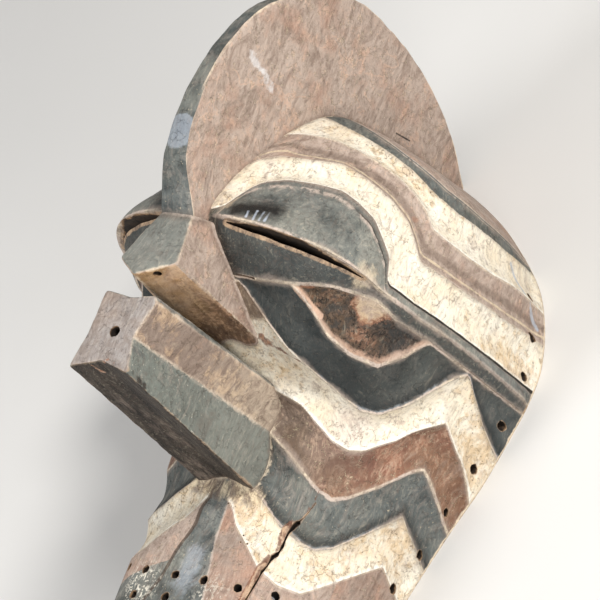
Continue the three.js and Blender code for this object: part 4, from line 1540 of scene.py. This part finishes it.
# %% [markdown]
# ## Nose
# The nose has a blue-grey front and mauve flanks. Its underside was hardly painted: bare brown
# wood, with painted light towards the tip and painted shade towards the back. Which facet a point
# lies on is read from the way it faces.

# %% Nose paint
def nose_finish():
    w = Wear(PAINTS["nose_paint"])
    grain = w.grain(1.0, 1.0, 0.14)
    # Painted light under the nose towards its tip, painted shade towards the back.
    lit_tip = w.spot((0, -60, 20), 50.0).below(70.0, 50.0)
    under = w.coats(
        w.mix(0.3, WOOD, MAUVE_DARK),
        (grain.above(0.52, 0.24) * 0.6, RUST_DARK),
        (w.broad.above(0.5, 0.2) * 0.3, RUST),
        ((w.cloud + grain * 0.3).above(0.74, 0.08) * 0.6, WOOD_DARK),
        (lit_tip * 0.3, w.mix(w.cloud.above(0.5, 0.2), WOOD_PALE, OCHRE)),
        ((1.0 - lit_tip) * w.strokes.below(0.5, 0.1) * 0.5, WOOD_DARK))
    front = w.mix(0.45, slate_paint(w, 1.0), SLATE_PALE)
    edge = (w.attribute("nose_edge") + w.wander * 7.0).below(1.5, 1.4) * w.patchy
    seam = w.seam + w.wander * 7.0
    paint = w.coats(
        w.mix(0.15, mauve_paint(w), MAUVE_DARK),
        (w.attribute("facing_ahead").above(0.75, 0.1), front),
        (w.attribute("facing_up").below(-0.65, 0.1), under),
        (edge * 0.75, WOOD_PALE),
        # Darker near the join with the face: dirt and painted shade.
        (seam.below(6.0, 5.0) * 0.5, MAUVE_DARK),
        (seam.below(2.6, 1.6) * w.patchy * 0.6, MAUVE_PALE))
    w.close(paint, 0.25, 0.6 + w.cloud * 0.3)


nose_finish()

# %% [markdown]
# ## Mouth
# The mouth's sides are painted in two colours, brown above the groove and grey-green below it.
# Its end is a cloudy mauve, its top blue-grey, its underside dark with dirt. The paint thins
# towards the face, and the lower edge is chipped to the wood in three places.

# %% Mouth paint
REAR, LOW_EDGE = 0.215, -0.134
CHIPS = [((-10, -137, 9), (-6, -138, -2), 1.6), ((-2, -135, 12), (10, -134.5, 12), 1.2),
         ((13, -136, 10), (16, -138, 4), 1.4)]


def mouth_finish():
    w = Wear(PAINTS["mouth_paint"])
    up, rear = w.attribute("facing_up"), w.axis("Z").below(REAR, 0.07)
    upper = (w.attribute("mouth_side") + w.wander * 1.5).above(0.0, 0.6)
    brown = w.coats(
        w.mix(0.62, mauve_paint(w), MAUVE_DARK),
        ((w.cloud + w.fibre * 0.6).above(0.88, 0.1) * 0.6, w.mix(0.5, OCHRE, MAUVE_PALE)),
        (rear * w.fibre.above(0.42, 0.2) * 0.5, w.mix(0.5, CREAM_WARM, MAUVE_PALE)))
    grey = w.coats(
        SLATE_GREEN,
        (w.cloud.above(0.5, 0.3) * 0.5, SLATE),
        (w.fibre.above(0.58, 0.1) * 0.25, MAUVE_PALE),
        (w.fine.above(0.69, 0.04) * 0.5, CREAM),
        (rear * 0.4, SLATE_PALE))
    rubbed = w.noise(60.0, 5.0, 0.7, w.stretched(1.0, 1.0, 0.3))
    under = w.coats(
        SOOT_AND_SHADE,
        (w.grain(1.0, 1.0, 0.14).above(0.5, 0.2) * 0.7, w.mix(0.4, WOOD_DARK, SLATE)),
        (rubbed.above(0.6, 0.1) * 0.3, MAUVE))
    end = w.coats(
        MAUVE,
        (w.broad.above(0.5, 0.16) * 0.45, w.mix(0.5, CHALK_BLUE, SLATE_PALE)),
        (w.fibre.below(0.48, 0.2) * 0.5, MAUVE_DARK),
        (w.fine.above(0.66, 0.06) * 0.5, MAUVE_DARK))
    edge = (w.attribute("mouth_edge") + w.wander * 9.0).below(1.4, 1.6) * w.patchy
    low = w.axis("Y").below(LOW_EDGE, 0.004)
    drip = w.line((30, -139, 5), (30.5, -142, -10), 9.0, w.bent).below(2.6, 2.0)
    chip = w.mix(w.fibre.above(0.5, 0.1), RUST, WOOD_PALE)
    paint = w.coats(
        w.mix(upper, grey, brown),
        (up.above(0.35, 0.1), slate_paint(w, 1.0)),
        (up.below(-0.75, 0.1), under),
        (w.attribute("facing_ahead").above(0.75, 0.1), end),
        (edge * 0.75, w.mix(low * 0.7, w.mix(0.5, WOOD_PALE, MAUVE_PALE), WOOD)),
        (drip * 0.85, SOOT_AND_SHADE),
        *w.drawn(CHIPS, chip, 9.0, 1.2, 0.65, w.bent),
        # Dirt and painted shade where the mouth joins the face.
        (w.dirt_and_shade(8.0, 6.0) * 0.45, MAUVE_DARK))
    w.close(paint, 0.25, 0.6 + w.cloud * 0.3)


mouth_finish()

# %% [markdown]
# ## Floor, light and camera
# The mask lies on its back rim on a plain pale floor, wide enough to have no edge in the
# picture, and hardly uneven, so that it doesn't draw the eye.

# %% Floor
def make_floor():
    bm = bmesh.new()
    bmesh.ops.create_grid(bm, x_segments=1, y_segments=1, size=6)
    material = bpy.data.materials.new("pale_floor")
    f = Finish(material)
    tone = f.mix(f.noise(3.0, 3.0), colour(212, 210, 207), colour(204, 202, 199))
    f.finish(tone, 0.85, f.noise(180.0, 3.0), 0.1, 0.0006)
    return finish_mesh("floor", bm, [material])


floor = make_floor()
print("floor", [round(s, 1) for s in floor.dimensions])

# %% [markdown]
# The camera stands where the photographer stood relative to the face: to the mask's left, below
# its chin, and a little rolled. From two metres away the lens flattens the depth as it does in
# the photograph.

# %% Camera
TURN, TILT, ROLL = (math.radians(a) for a in (39.9, -19.6, 22.6))
CAMERA_PLACE = [1457.459, -788.768, 1570.041]


def add_camera():
    back = Vector((math.cos(TILT) * math.sin(TURN), math.sin(TILT),
                   math.cos(TILT) * math.cos(TURN)))
    level = Vector((0, 1, 0)).cross(back).normalized()
    upright = back.cross(level)
    right = level * math.cos(ROLL) + upright * math.sin(ROLL)
    above = upright * math.cos(ROLL) - level * math.sin(ROLL)
    camera = bpy.data.cameras.new("camera")
    camera.lens, camera.sensor_width = 180, 36
    holder = bpy.data.objects.new("camera", camera)
    holder.matrix_world = Matrix((right, above, back)).transposed().to_4x4()
    holder.location = Vector(to_row(CAMERA_PLACE))
    bpy.context.scene.collection.objects.link(holder)
    bpy.context.scene.camera = holder
    return right, above, back


right, above, back = add_camera()
print("camera", tuple(round(c, 3) for c in bpy.context.scene.camera.location))

# %% [markdown]
# The photograph has one large soft light from above the camera. A weak one grazes the near side,
# a wide one opens the shadows on the far side, and a dim even sky does the rest.

# %% Light
CENTRE, LIGHT_AWAY, SKY = Vector((0, 0, 0.16)), 1.5, 0.27
LIGHTS = {
    "key": (right * 0.15 + above * 0.7 + back * 1.0, 0.4, 33, (1, 0.985, 0.96)),
    "side": (Vector((0.9, -0.55, 0.4)), 0.8, 12, (1, 0.99, 0.97)),
    "fill": (right * -1.3 - above * 0.4 + back * 0.65, 1.0, 32, (0.98, 0.99, 1)),
}


def add_area(name, away, size, power, tint):
    light = bpy.data.lights.new(name, "AREA")
    light.shape, light.size, light.energy, light.color = "DISK", size, power, tint
    lamp = bpy.data.objects.new(name, light)
    lamp.location = CENTRE + away
    lamp.rotation_euler = (CENTRE - lamp.location).to_track_quat("-Z", "Y").to_euler()
    bpy.context.scene.collection.objects.link(lamp)


for name, (towards, size, power, tint) in LIGHTS.items():
    add_area(name, towards * LIGHT_AWAY, size, power, tint)
world = bpy.data.worlds.new("studio")
world.use_nodes = True
sky = world.node_tree.nodes["Background"]
sky.inputs["Color"].default_value = (0.95, 0.97, 1, 1)
sky.inputs["Strength"].default_value = SKY
bpy.context.scene.world = world
bpy.context.scene.view_settings.view_transform = "Standard"
print(len(LIGHTS), "lights")

# %% [markdown]
# ## Hand over to the frame
# The mask is one body that rides on the root and stands in for the whole solid. The floor is
# only there for the picture.

# %% Hand over
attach(mask, "root")
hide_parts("mask")
